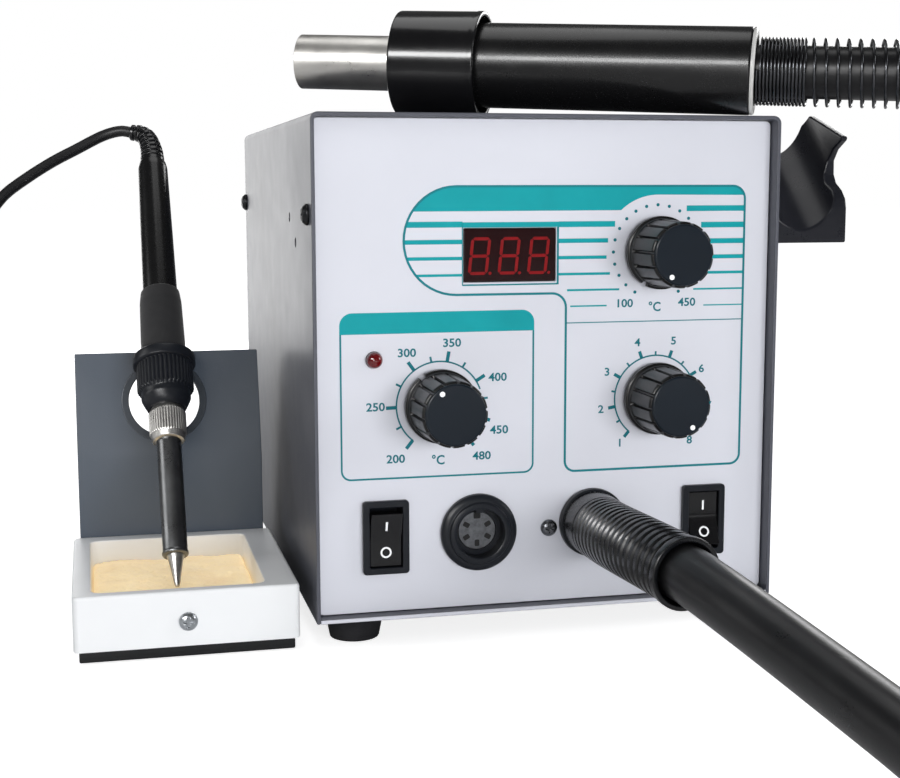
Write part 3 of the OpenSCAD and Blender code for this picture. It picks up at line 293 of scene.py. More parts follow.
tubeClear = finishOf("tubeClear", (206, 206, 200), 0.3, mottle=0.05, grain=0.01)
heaterMica = finishOf("heaterMica", (205, 198, 182), 0.6, mottle=0.12, mottleSize=6, grain=0.05,
                      grainSize=0.7)
ringGray = finishOf("ringGray", (186, 186, 184), 0.3, mottle=0.08, grain=0.01)
springWire = finishOf("springWire", (74, 75, 78), 0.22, metal=1, mottle=0.1, mottleSize=6, grain=0.004)
standPaint = finishOf("standPaint", (66, 76, 89), 0.42, mottle=0.05, mottleSize=45, grain=0.03, grainSize=0.6)
ringPaint = finishOf("ringPaint", (50, 56, 64), 0.36, metal=0.25, mottle=0.08, mottleSize=10, grain=0.01)
trayWhite = finishOf("trayWhite", (230, 232, 234), 0.4, mottle=0.02, mottleSize=40, grain=0.01, grainSize=0.7)
# the sponge's glow is painted light that brightens it where the tray's walls shade it
spongeYellow = finishOf("spongeYellow", (255, 226, 180), 0.85, mottle=0.07, mottleSize=9, grain=0.14,
                        grainSize=1.3, glow=0.45, sheen=0.2, cells=True)
sleeveFoam = finishOf("sleeveFoam", (30, 30, 32), 0.75, level=0.25, mottle=0.12, mottleSize=4, grain=0.06,
                      grainSize=0.5, sheen=0.2)
handleBlack = finishOf("handleBlack", (13, 13, 14), 0.27, level=0.35, mottle=0.1, grain=0.012, grainSize=0.5,
                       coat=0.1)
print("finishes are mixed")


# meshes and pieces

# large faces keep their direction and the small ones at the edges bend into them, except on soft pieces
def newPiece(name, mesh, body, slot, replaced=(), materials=(), soft=False):
    piece = bpy.data.objects.new(name, mesh)
    bpy.context.collection.objects.link(piece)
    for material in materials:
        mesh.materials.append(material)
    if body:
        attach(piece, body)
    if replaced:
        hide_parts(*replaced)
    if soft:
        return piece
    shading = piece.modifiers.new("evenShading", "WEIGHTED_NORMAL")
    shading.keep_sharp = True
    return piece


def closeMesh(name, bm, angle=35, recalculate=True):
    if recalculate:
        bmesh.ops.recalc_face_normals(bm, faces=bm.faces)
    limit = math.radians(angle)
    for face in bm.faces:
        face.smooth = True
    for edge in bm.edges:
        if len(edge.link_faces) == 2:
            edge.smooth = edge.calc_face_angle(0) < limit
    mesh = bpy.data.meshes.new(name)
    bm.to_mesh(mesh)
    bm.free()
    return mesh


def shapedPiece(name, bm, *how, angle=35, **more):
    return newPiece(name, closeMesh(name, bm, angle), *how, **more)


# rings of points joined into one skin; a ring of one point is a pole
def loft(bm, rings, place, material=0, closed=False):
    made = [[bm.verts.new(place @ (Vector(p) * mm)) for p in ring] for ring in rings]
    pairs = list(zip(made, made[1:]))
    if closed:
        pairs.append((made[-1], made[0]))
    for low, high in pairs:
        count = max(len(low), len(high))
        for k in range(count):
            after = (k + 1) % count
            corners = [low[k % len(low)], low[after % len(low)], high[after % len(high)], high[k % len(high)]]
            corners = [v for i, v in enumerate(corners) if v not in corners[:i]]
            if len(corners) > 2:
                bm.faces.new(corners).material_index = material
    if not closed:
        for ring in (made[0], made[-1]):
            if len(ring) > 2:
                bm.faces.new(ring).material_index = material


# rounds the corners of a profile: each point may carry its own radius
def rounded(points, radius=0.0, steps=3, closed=False):
    out = []
    count = len(points)
    for i, point in enumerate(points):
        here = Vector(point[:2])
        size = point[2] if len(point) > 2 else radius
        if size <= 0 or (not closed and i in (0, count - 1)):
            out.append(here)
            continue
        before = Vector(points[i - 1][:2]) - here
        after = Vector(points[(i + 1) % count][:2]) - here
        size = min(size, before.length * 0.45, after.length * 0.45)
        a, b = here + before.normalized() * size, here + after.normalized() * size
        for k in range(steps + 1):
            t = k / steps
            out.append(a.lerp(here, t).lerp(here.lerp(b, t), t))
    return out


# turns a profile of radius and height; a radius of nothing is a pole
def lathe(bm, profile, place, sides=64, material=0, closed=False):
    turns = [math.tau * k / sides for k in range(sides)]
    rings = []
    for r, z in profile:
        rings.append([(0, 0, z)] if r < 0.001 else [(r * math.cos(a), r * math.sin(a), z) for a in turns])
    loft(bm, rings, place, material, closed)


def roundRect(width, height, radius, steps=5):
    points = []
    for quarter, (sx, sy) in enumerate([(1, 1), (-1, 1), (-1, -1), (1, -1)]):
        for k in range(steps + 1):
            a = math.radians(90 * quarter + 90 * k / steps)
            points.append((sx * (width / 2 - radius) + radius * math.cos(a),
                           sy * (height / 2 - radius) + radius * math.sin(a)))
    return points


def raised(outline, z):
    return [(x, y, z) for x, y in outline]


# a flat shape as a thin slab from low to high
def slab(bm, outline, low, high, place, material=0):
    flat = [Vector((x, y, 0)) for x, y in outline]
    lower, upper = [[bm.verts.new(place @ Vector((p.x * mm, p.y * mm, z * mm))) for p in flat]
                    for z in (low, high)]
    for tri in geometry.tessellate_polygon([flat]):
        bm.faces.new([upper[i] for i in tri]).material_index = material
        bm.faces.new([lower[i] for i in reversed(tri)]).material_index = material
    for a in range(len(flat)):
        b = (a + 1) % len(flat)
        bm.faces.new([lower[a], lower[b], upper[b], upper[a]]).material_index = material


# a line of even width along points on the panel
def stripe(bm, points, width, height, closed=False):
    points = [Vector(p) for p in points]
    count = len(points)
    rings = []
    for i, p in enumerate(points):
        before = points[i - 1] if closed or i else p
        after = points[(i + 1) % count] if closed or i < count - 1 else p
        way = (after - before).normalized()
        side = Vector((-way.y, way.x)) * width / 2
        left, right = tuple(p + side), tuple(p - side)
        rings.append([(*left, 0), (*right, 0), (*right, height), (*left, height)])
    loft(bm, rings, onPanel(0, 0), closed=closed)


# weld in metres; edges sharper than an angle are eased, and steps flatter than another one dissolve
easeSet = dict(weld=2e-6, flat=0.6, sharp=32, smooth=40)


# a CAD node's own shape with its sharp edges eased
def easedPiece(name, node, width, material, slot, segments=2):
    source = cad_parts[node]
    bm = bmesh.new()
    bm.from_mesh(source.data)
    bm.transform(source.matrix_world)
    bmesh.ops.remove_doubles(bm, verts=bm.verts, dist=easeSet["weld"])
    bmesh.ops.dissolve_limit(bm, angle_limit=math.radians(easeSet["flat"]), verts=bm.verts, edges=bm.edges)
    limit = math.radians(easeSet["sharp"])
    edges = [e for e in bm.edges if len(e.link_faces) == 2 and e.calc_face_angle(0) > limit]
    bmesh.ops.bevel(bm, geom=edges, offset=width * mm, offset_type="OFFSET", segments=segments, profile=0.5,
                    affect="EDGES", clamp_overlap=False)
    mesh = closeMesh(name, bm, easeSet["smooth"], recalculate=False)
    mesh.materials.clear()
    return newPiece(name, mesh, "station", slot, [node], [material])


def dress(node, material):
    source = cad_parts[node]
    for slot in source.material_slots:
        slot.material = material
    if not source.material_slots:
        source.data.materials.append(material)


# smooth paths through given points

def pathThrough(points, steps):
    points = [Vector(p) for p in points]
    ends = [2 * points[0] - points[1]] + points + [2 * points[-1] - points[-2]]
    path = []
    for i in range(len(points) - 1):
        a, b, c, d = ends[i:i + 4]
        for k in range(steps):
            t = k / steps
            path.append(0.5 * (2 * b + (c - a) * t + (2 * a - 5 * b + 4 * c - d) * t * t
                               + (3 * b - a - 3 * c + d) * t ** 3))
    return path + [points[-1]]


def pathLength(path):
    return sum((b - a).length for a, b in zip(path, path[1:]))


# node trees that repeat a shape or follow a path

def newTree(name, inputs):
    tree = bpy.data.node_groups.new(name, "GeometryNodeTree")
    tree.interface.new_socket("Geometry", in_out="INPUT", socket_type="NodeSocketGeometry")
    for label, kind, value in inputs:
        socket = tree.interface.new_socket(label, in_out="INPUT", socket_type="NodeSocket" + kind)
        socket.default_value = value
    tree.interface.new_socket("Material", in_out="INPUT", socket_type="NodeSocketMaterial")
    tree.interface.new_socket("Geometry", in_out="OUTPUT", socket_type="NodeSocketGeometry")
    start, end = tree.nodes.new("NodeGroupInput"), tree.nodes.new("NodeGroupOutput")

    def finishWith(result):
        for kind in ("SetShadeSmooth", "RealizeInstances"):
            result = addNode(tree, "GeometryNode" + kind, {"Geometry": result})["Geometry"]
        coated = {"Geometry": result, "Material": start.outputs["Material"]}
        tree.links.new(addNode(tree, "GeometryNodeSetMaterial", coated)["Geometry"], end.inputs["Geometry"])
    return tree, start.outputs, finishWith


# the curve in even steps, and the way along it
def steppedCurve(tree, inputs):
    steps = {"Curve": inputs["Geometry"], "Length": inputs["Step"]}
    even = addNode(tree, "GeometryNodeResampleCurve", steps, mode="LENGTH")
    return even["Curve"], addNode(tree, "GeometryNodeSplineParameter")


def sweepAlong(tree, curve, sides, radius, scale=1.0):
    ring = {"Resolution": sides, "Radius": radius}
    circle = addNode(tree, "GeometryNodeCurvePrimitiveCircle", ring)["Curve"]
    sweep = {"Curve": curve, "Profile Curve": circle, "Scale": scale, "Fill Caps": True}
    return addNode(tree, "GeometryNodeCurveToMesh", sweep)["Mesh"]


def runTree(name, tree, values, source=None):
    holder = bpy.data.objects.new(name, source or bpy.data.meshes.new(name))
    bpy.context.collection.objects.link(holder)
    modifier = holder.modifiers.new("nodes", "NODES")
    modifier.node_group = tree
    for item in tree.interface.items_tree:
        if item.in_out == "INPUT" and item.name in values:
            modifier[item.identifier] = values[item.name]
    bpy.context.view_layer.update()
    graph = bpy.context.evaluated_depsgraph_get()
    mesh = bpy.data.meshes.new_from_object(holder.evaluated_get(graph), preserve_all_data_layers=True,
                                           depsgraph=graph)
    holder.modifiers.clear()
    bpy.data.objects.remove(holder)
    mesh.name = name
    return mesh


def lineCurve(name, path):
    curve = bpy.data.curves.new(name, "CURVE")
    curve.dimensions = "3D"
    curve.twist_mode = "MINIMUM"
    spline = curve.splines.new("POLY")
    spline.points.add(len(path) - 1)
    for point, place in zip(spline.points, path):
        point.co = (*place, 1)
    return curve


# a round tube that stays or tapers, with grooves at an even pitch after its cuff
def buildTubeTree():
    tree, inputs, finishWith = newTree("tubeAlong", [
        ("Radius", "Float", 0.01), ("End Radius", "Float", 0.01), ("Sides", "Int", 24),
        ("Step", "Float", 0.002), ("Pitch", "Float", 0.01), ("Groove", "Float", 0.0), ("Cuff", "Float", 0.0)])
    curve, along = steppedCurve(tree, inputs)
    past = mathOf(tree, "SUBTRACT", along["Length"], inputs["Cuff"])
    wave = mathOf(tree, "FRACT", mathOf(tree, "DIVIDE", past, inputs["Pitch"]))
    off = mathOf(tree, "ABSOLUTE", mathOf(tree, "SUBTRACT", wave, 0.5))
    wall = {"Value": off, "From Min": 0.24, "From Max": 0.42}
    ease = addNode(tree, "ShaderNodeMapRange", wall, interpolation_type="SMOOTHSTEP")["Result"]
    dip = mathOf(tree, "MULTIPLY", ease, inputs["Groove"])
    dip = mathOf(tree, "MULTIPLY", dip, mathOf(tree, "GREATER_THAN", past, 0.0))
    taper = mathOf(tree, "SUBTRACT", inputs["End Radius"], inputs["Radius"])
    size = mathOf(tree, "ADD", inputs["Radius"], mathOf(tree, "MULTIPLY", along["Factor"], taper))
    finishWith(sweepAlong(tree, curve, inputs["Sides"], 1, mathOf(tree, "SUBTRACT", size, dip)))
    return tree


# a wire wound round a path, closed turns first and open turns after them
def buildSpringTree():
    tree, inputs, finishWith = newTree("wireRound", [
        ("Radius", "Float", 0.012), ("Wire", "Float", 0.0013), ("Closed Length", "Float", 0.018),
        ("Closed Pitch", "Float", 0.0014), ("Open Pitch", "Float", 0.0042), ("Step", "Float", 0.0001)])
    curve, along = steppedCurve(tree, inputs)
    near = mathOf(tree, "MINIMUM", along["Length"], inputs["Closed Length"])
    far = mathOf(tree, "SUBTRACT", along["Length"], inputs["Closed Length"])
    near = mathOf(tree, "DIVIDE", near, inputs["Closed Pitch"])
    far = mathOf(tree, "DIVIDE", mathOf(tree, "MAXIMUM", far, 0.0), inputs["Open Pitch"])
    angle = mathOf(tree, "MULTIPLY", mathOf(tree, "ADD", near, far), math.tau)
    tangent, normal = [addNode(tree, "GeometryNodeInput" + kind)[0] for kind in ("Tangent", "Normal")]
    cross = addNode(tree, "ShaderNodeVectorMath", enumerate((tangent, normal)), operation="CROSS_PRODUCT")[0]
    parts = []
    for source, wave in ((normal, "COSINE"), (cross, "SINE")):
        swing = mathOf(tree, "MULTIPLY", mathOf(tree, wave, angle), inputs["Radius"])
        parts.append(addNode(tree, "ShaderNodeVectorMath", {0: source, "Scale": swing}, operation="SCALE")[0])
    offset = addNode(tree, "ShaderNodeVectorMath", enumerate(parts))[0]
    wound = addNode(tree, "GeometryNodeSetPosition", {"Geometry": curve, "Offset": offset})["Geometry"]
    finishWith(sweepAlong(tree, wound, 10, mathOf(tree, "MULTIPLY", inputs["Wire"], 0.5)))
    return tree


# small marks set round a centre, clockwise from the top
def buildMarkTree():
    tree, inputs, finishWith = newTree("marksRound", [
        ("Count", "Int", 8), ("First", "Float", 0.0), ("Step", "Float", 0.1), ("Radius", "Float", 0.02),
        ("Width", "Float", 0.001), ("Length", "Float", 0.003), ("Height", "Float", 0.00006),
        ("Round", "Bool", False)])
    line = addNode(tree, "GeometryNodeMeshLine", {"Count": inputs["Count"], "Offset": (0, 0, 0)})["Mesh"]
    index = addNode(tree, "GeometryNodeInputIndex")[0]
    angle = mathOf(tree, "ADD", inputs["First"], mathOf(tree, "MULTIPLY", index, inputs["Step"]))
    across, up = [mathOf(tree, "MULTIPLY", mathOf(tree, wave, angle), inputs["Radius"])
                  for wave in ("SINE", "COSINE")]
    spots = {"Geometry": line, "Position": vectorOf(tree, across, up, 0.0)}
    size = vectorOf(tree, inputs["Width"], inputs["Length"], inputs["Height"])
    half = mathOf(tree, "MULTIPLY", inputs["Width"], 0.5)
    disc = {"Vertices": 16, "Radius": half, "Depth": inputs["Height"]}
    bar = addNode(tree, "GeometryNodeMeshCube", {"Size": size})["Mesh"]
    dot = addNode(tree, "GeometryNodeMeshCylinder", disc)["Mesh"]
    shapes = {"Switch": inputs["Round"], "False": bar, "True": dot}
    spin = vectorOf(tree, 0.0, 0.0, mathOf(tree, "MULTIPLY", angle, -1.0))
    marks = addNode(tree, "GeometryNodeInstanceOnPoints", {
        "Points": addNode(tree, "GeometryNodeSetPosition", spots)["Geometry"],
        "Instance": addNode(tree, "GeometryNodeSwitch", shapes, input_type="GEOMETRY")[0],
        "Rotation": addNode(tree, "FunctionNodeEulerToRotation", {0: spin})[0]})
    finishWith(marks["Instances"])
    return tree


tubeTree = buildTubeTree()
springTree = buildSpringTree()
markTree = buildMarkTree()


def tubeMesh(name, path, radius, material, sides=24, step=2.0, endRadius=None, pitch=10.0, groove=0.0,
             cuff=0.0):
    sizes = {"Radius": radius, "End Radius": endRadius or radius, "Step": step, "Pitch": pitch,
             "Groove": groove, "Cuff": cuff}
    values = {label: size * mm for label, size in sizes.items()}
    return runTree(name, tubeTree, {**values, "Sides": sides, "Material": material},
                   lineCurve(name + "Line", path))


# cords: the same route points as the solids, in metres

hoseSet = dict(diameter=20, sides=40)
tailExit = Vector((133.23, -26.14, 214.37))
tailWay = Vector((0.88214, -0.46904, -0.04272))
reliefRoute = [(18, 3, 42.5), (18, -15, 42.5), (18.4, -35, 43.1), (20.1, -57, 43.2), (23, -79, 42.3)]
hoseRoute = [(23.8, -85, 42.0), (28, -106, 38.2), (34, -135, 32.4), (41, -184, 24.6), (44.5, -211, 20.2),
             (51, -237, 16.2), (63.5, -260.5, 12.8), (83.5, -279.5, 10.9), (108.5, -291.5, 10.3),
             (134, -295, 10.3), (159.5, -291.5, 10.3), (184.5, -279.5, 10.3), (205.5, -260, 10.3),
             (219, -235, 10.3), (225, -207, 10.9), (227, -181, 14.6), (227, -157, 22.5), (227, -137, 36),
             (227, -119, 54), (227, -104, 75), (226, -92, 98), (224, -82, 122), (219, -74, 146),
             (211, -67, 168), (198, -59, 187), (182, -51, 201), (164, -42, 210),
             tuple(tailExit + 14 * tailWay), tuple(tailExit)]
reliefSet = dict(radius=12.5, cuff=10.5, pitch=3.95, groove=1.25, rim=13.1, cup=11.2, cupDepth=6)


def layHose():
    path = pathThrough([at(*p) for p in reliefRoute + hoseRoute], 6)
    mesh = tubeMesh("airHose", path, hoseSet["diameter"] / 2, hoseRubber, hoseSet["sides"], 3)
    hose = newPiece("airHose", mesh, None, "hose_rubber", ["hose"], soft=True)
    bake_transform(hose)

    # the relief opens into a cup at its far end, with the hose going in
    reliefPath = pathThrough([at(*p) for p in reliefRoute], 16)
    sleeve = tubeMesh("hoseRelief", reliefPath, reliefSet["radius"], reliefRubber, 48, 0.28,
                      pitch=reliefSet["pitch"], groove=reliefSet["groove"], cuff=reliefSet["cuff"])
    bm = bmesh.new()
    bm.from_mesh(sleeve)
    end, way = reliefPath[-1], (reliefPath[-1] - reliefPath[-2]).normalized()
    side = way.cross(Vector((0, 0, 1))).normalized()
    turn = Matrix((side, way.cross(side), way)).transposed().to_4x4()
    lip = rounded([(reliefSet["radius"] - 1, -3.6), (reliefSet["rim"], -3.2), (reliefSet["rim"], 0),
                   (reliefSet["cup"], 0), (reliefSet["cup"], -reliefSet["cupDepth"]),
                   (reliefSet["radius"] - 2.4, -reliefSet["cupDepth"])],
                  0.5, closed=True)
    caps = [f for f in bm.faces if len(f.verts) > 8 and (f.calc_center_median() - end).length < 0.002]
    bmesh.ops.delete(bm, geom=caps, context="FACES_ONLY")
    lathe(bm, lip, Matrix.Translation(end) @ turn, 48, closed=True)
    relief = newPiece("hoseRelief", closeMesh("hoseRelief", bm, 40), "station", "black_plastic",
                      ["hose_relief"], [reliefRubber], soft=True)
    print("hose", round(pathLength(path), 4), "m")


ironCordSet = dict(diameter=5, sides=16)
coilSet = dict(center=(-256, 130), columns=(35, 30, 25), rows=(7.6, 2.6), perTurn=24, first=-12, last=150)
reliefOut = Vector((-150.2, 175.68, 198.68))
archRoute = [tuple(reliefOut), (-154.9, 177.2, 199.3), (-163, 178, 197), (-175, 176, 190.7),
             (-186, 173, 184.8), (-198, 169, 177), (-208, 165, 169), (-216, 161, 157), (-221, 157, 141),
             (-224.5, 152, 116), (-226, 147, 88), (-226.5, 144, 60), (-225.5, 142, 38), (-223.5, 137, 21)]
plugRoute = [(-277, 161.5, 3.4), (-268, 174.5, 5.4), (-261.2, 184.5, 8.2), (-257.4, 190, 9.7),
             (-256, 194, 10)]


# three turns on the upper row from the outside in, then three below from the inside out
def coilTurns():
    x, y = coilSet["center"]
    turns = [(radius, coilSet["rows"][0]) for radius in coilSet["columns"]]
    turns += [(radius, coilSet["rows"][1]) for radius in reversed(coilSet["columns"])]
    sweep = 360 * len(turns) - coilSet["last"] + coilSet["first"]
    count = int(sweep / 360 * coilSet["perTurn"])
    points = []
    for i in range(count + 1):
        part = sweep / 360 * i / count
        index = min(int(part), len(turns) - 1)
        here, after = turns[index], turns[min(index + 1, len(turns) - 1)]
        mix = max(0, (part - index - 0.85) / 0.15)
        mix = mix * mix * (3 - 2 * mix)
        radius, height = [a + (b - a) * mix for a, b in zip(here, after)]
        angle = math.radians(coilSet["first"] - 360 * part)
        points.append((x + radius * math.cos(angle), y + radius * math.sin(angle), height))
    return points


def layIronCord():
    path = pathThrough([at(*p) for p in archRoute + coilTurns() + plugRoute], 4)
    mesh = tubeMesh("ironCord", path, ironCordSet["diameter"] / 2, cordRubber, ironCordSet["sides"], 2)
    cord = newPiece("ironCord", mesh, None, "hose_rubber", ["iron_cord", "iron_cord_coil"], soft=True)
    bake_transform(cord)
    print("iron cord", round(pathLength(path), 4), "m")


layHose()
layIronCord()


# the case

caseParts = [
    ("frontPanel", "front_panel", 0.3, panelPrint, "panel_print"),
    ("coverScrews", "cover_screws", 0.18, screwBlack, "screw_black"),
    ("rubberFeet", "rubber_feet", 0.6, footRubber, "foot_rubber"),
    ("sideCradle", "cradle", 0.7, cradleBlack, "black_plastic", 3),
    ("cradleScrews", "cradle_screws", 0.15, screwSteel, "screw_steel"),
    ("hoseGland", "hose_gland", 0.6, satinBlack, "black_plastic"),
    ("panelScrew", "panel_screw", 0.15, screwDark, "screw_black"),
    ("mainsInlet", "mains_inlet", 0.3, satinBlack, "black_plastic"),
    ("fuseHolder", "fuse_holder", 0.3, satinBlack, "black_plastic")]
insideParts = dict(
    foot_screws=screwSteel, display_module=blackAndSlotShade, display_board=boardGreen, iron_temp_pot=potSteel,
    air_temp_pot=potSteel, air_flow_pot=potSteel, transformer_core=coreIron, transformer_coil=coilTape,
    pump_body=pumpAlloy, pump_mounts=footRubber, inner_air_tube=tubeClear, control_board=boardGreen,
    heater_core=heaterMica)


def buildCase():
    easedPiece("coverShell", "top_cover", 0.45, coverPaint, "cover_gray")
    pan = easedPiece("chassisPan", "chassis_pan", 0.25, coverPaint, "cover_gray", 1)
    pan.data.materials.append(panelPrint)  # its front lip is the panel's colour
    for face in pan.data.polygons:
        if face.normal.y < -0.5 and face.center.y < at(0, 12, 0).y:
            face.material_index = 1
    for part in caseParts:
        easedPiece(*part)
    for node, material in insideParts.items():
        dress(node, material)


buildCase()
print("case done")


# the panel's print: bands, lines, scales and numbers

inkSet = dict(height=0.06, bandHeight=0.045, line=0.9, thin=0.4, bold=0.022)
lobeSet = dict(x=-36.4, z=152.9, radius=20.3, top=173.2, right=80, corner=5, bottom=63, foot=132.5, neck=6.8,
               bend=5.5, turn=4, bandFrom=164, divider=121)
haloSet = dict(x=43.9, z=147.5, radius=20.6, band=22.4)
displaySet = dict(x=-15.6, z=147.4, width=36, height=20)
ironFrame = dict(left=-81, right=-6.2, bottom=63.5, top=126.5, band=118.5, bend=4.8, turn=3.5, line=0.7)
# height on the panel and width, from the top down
stripeSet = dict(
    right=((164.6, 2.2), (158.2, 2.2), (151.9, 2.0), (145.8, 1.6), (139.6, 1.1), (133.2, 0.7), (126.8, 0.5)),
    middle=((158.8, 2.2), (152.5, 1.7), (146.1, 1.3), (139.8, 1.0), (133.6, 0.8), (127.4, 0.6)),
    left=((159, 2.2), (152.5, 1.7), (146.3, 1.3), (140, 1.0)))


def arc(x, z, radius, start, end, steps=24):
    angles = [math.radians(start + (end - start) * k / steps) for k in range(steps + 1)]
    return [(x + radius * math.cos(a), z + radius * math.sin(a)) for a in angles]


def haloEdge(z, side):
    drop = haloSet["radius"] ** 2 - (z - haloSet["z"]) ** 2
    return haloSet["x"] + side * math.sqrt(max(drop, 0))


def lobeEdge(z):
    drop = lobeSet["radius"] ** 2 - (z - lobeSet["z"]) ** 2
    return lobeSet["x"] - math.sqrt(max(drop, 0))


def printPanel():
    lines, bands = bmesh.new(), bmesh.new()
    place, top, under = onPanel(0, 0), inkSet["height"], inkSet["bandHeight"]
    lobe, halo = lobeSet, haloSet
    right, roof, corner, bend, turn = [lobe[key] for key in ("right", "top", "corner", "bend", "turn")]

    # outline of the hot-air side
    outline = arc(lobe["x"], lobe["z"], lobe["radius"], 90, 270)
    outline += arc(lobe["neck"] - bend, lobe["foot"] - bend, bend, 90, 0, 8)
    outline += arc(lobe["neck"] + turn, lobe["bottom"] + turn, turn, 180, 270, 8)
    outline += arc(right - turn, lobe["bottom"] + turn, turn, 270, 360, 8)
    outline += arc(right - corner, roof - corner, corner, 0, 90, 8)
    stripe(lines, outline, inkSet["line"], top, closed=True)

    # header band from the lobe to the circle round the upper dial, then the strip to the right corner
    start = math.degrees(math.asin((lobe["bandFrom"] - lobe["z"]) / lobe["radius"]))
    cut = math.degrees(math.acos((lobe["bandFrom"] - halo["z"]) / halo["band"]))
    band = arc(lobe["x"], lobe["z"], lobe["radius"] - 0.2, 180 - start, 90, 14)
    band += arc(right - corner, roof - corner, corner - 0.2, 90, 18, 8)
    band += [(halo["x"], halo["z"] + halo["band"])]
    band += arc(halo["x"], halo["z"], halo["band"], 94, 90 + cut, 10)
    slab(bands, band, 0, under, place)

    # stripes that thin downwards, cut by the circle and the display
    x, z = displaySet["x"], displaySet["z"]
    wide, tall = displaySet["width"] / 2, displaySet["height"] / 2
    for level, width in stripeSet["right"]:
        first = max(haloEdge(level, 1) + 0.3, 63.4 if level < 130 else 0)
        stripe(bands, [(first, level), (right - 0.4, level)], width, under)
    for level, width in stripeSet["middle"]:
        first = x + wide + 1.3 if level > 136 else 7.2 if level > 130 else 8.5
        last = haloEdge(level, -1) - 0.3 if level > 130 else 23.3
        stripe(bands, [(first, level), (last, level)], width, under)
    for level, width in stripeSet["left"]:
        stripe(bands, [(lobeEdge(level) + 0.2, level), (x - wide - 0.5, level)], width, under)

    # frame round the display, thick at the top
    slab(bands, [(x - wide - 0.7, z + tall + 0.4), (x + wide + 1.4, z + tall + 0.4),
                 (x + wide + 1.4, z + tall + 2.4), (x - wide - 0.7, z + tall + 2.4)], 0, under, place)
    for start, end, width in (((x + wide + 1, z + tall + 0.4), (x + wide + 1, z - tall - 1.3), 0.8),
                              ((x + wide + 1.4, z - tall - 1.2), (x - wide - 0.7, z - tall - 1.2), 0.6),
                              ((x - wide - 0.6, z - tall - 1.2), (x - wide - 0.6, z + tall + 0.4), 0.4),
                              ((lobe["neck"], lobe["divider"]), (right, lobe["divider"]), inkSet["thin"])):
        stripe(lines, [start, end], width, top)

    # frame and header of the iron's side
    keys = ("left", "right", "bottom", "top", "band", "bend", "turn")
    l, r, b, t, low, bend, turn = [ironFrame[key] for key in keys]
    outline = [(l, low), *arc(l + turn, b + turn, turn, 180, 270, 8),
               *arc(r - turn, b + turn, turn, 270, 360, 8), (r, low)]
    stripe(lines, outline, ironFrame["line"], top)
    out = ironFrame["line"] / 2
    header = [(l - out, low), (r + out, low), *arc(r + out - bend, t - bend, bend, 0, 90, 8),
              *arc(l - out + bend, t - bend, bend, 90, 180, 8)]
    slab(bands, header, 0, under, place)
    shapedPiece("printLines", lines, "station", "panel_print", (), [tealLine])
    shapedPiece("printBands", bands, "station", "panel_print", (), [tealBand])


# scales: degrees clockwise from the top
scaleSet = dict(
    iron=dict(x=-43.1, z=90.8, arc=(-142, 70), radius=16.8, line=0.6, big=[-141, -91, -36, 10, 58, 108, 140],
              small=[-117, -63, -11, 32, 83], bigSize=(1.35, 4.0), smallSize=(0.8, 2.2), size=4.4,
              numbers={"200": (-60.3, 70.7), "250": (-67.9, 90.8), "300": (-55.8, 111), "350": (-38.3, 114.4),
                       "400": (-20.3, 100.8), "450": (-19.7, 80.4), "480": (-26.6, 70.6)}),
    flow=dict(x=43.8, z=90.7, arc=(-141, 141), radius=16.8, line=0.6, big=[-140 + 40 * k for k in range(8)],
              small=[-120 + 40 * k for k in range(7)], bigSize=(1.3, 2.9), smallSize=(0.75, 1.6), size=4.3,
              numbers={"1": (29.4, 73.2), "2": (21.4, 86.8), "3": (23.8, 101.4), "4": (36.2, 112.6),
                       "5": (51.2, 112.9), "6": (63.1, 101.6), "7": (66.5, 86.8), "8": (58.6, 73.2)}))
# dots round the upper dial: place, count, first angle, step, radius, width and length
haloDots = (43.8, 148, 21, -150, 15, 18, 1.3, 1)
dialWords = [("100", 4.4, 30.5, 128), ("450", 4.4, 56.4, 128), ("°C", 5, 43, 126.4, 0.95),
             ("°C", 5, -43.8, 69.6, 0.95)]


def textMesh(word, size):
    curve = bpy.data.curves.new("word", "FONT")
    curve.body = word
    curve.size = size * mm
    curve.align_x = "CENTER"
    curve.align_y = "CENTER"
    curve.extrude = inkSet["height"] * mm / 2
    curve.offset = size * mm * inkSet["bold"]
    curve.resolution_u = 3
    holder = bpy.data.objects.new("word", curve)
    bpy.context.collection.objects.link(holder)
    bpy.context.view_layer.update()
    graph = bpy.context.evaluated_depsgraph_get()
    mesh = bpy.data.meshes.new_from_object(holder.evaluated_get(graph), depsgraph=graph)
    bpy.data.objects.remove(holder)
    return mesh


def writeWord(bm, word, size, x, z, squeeze=1.1):
    mesh = textMesh(word, size)
    mesh.transform(onPanel(x, z) @ Matrix.Translation((0, 0, inkSet["height"] * mm / 2))
                   @ Matrix.Diagonal((squeeze, 1, 1, 1)))
    bm.from_mesh(mesh)
    bpy.data.meshes.remove(mesh)


# marks from the first angle on, in degrees clockwise from the top
def addMarks(bm, x, z, count, first, step, radius, width, length, dots=False):
    sizes = {"Radius": radius, "Width": width, "Length": length, "Height": inkSet["height"]}
    values = {label: size * mm for label, size in sizes.items()}
    mesh = runTree("marks", markTree, {**values, "Count": count, "First": math.radians(first),
                                       "Step": math.radians(step), "Round": dots})
    mesh.transform(onPanel(x, z) @ Matrix.Translation((0, 0, inkSet["height"] * mm / 2)))
    bm.from_mesh(mesh)
    bpy.data.meshes.remove(mesh)


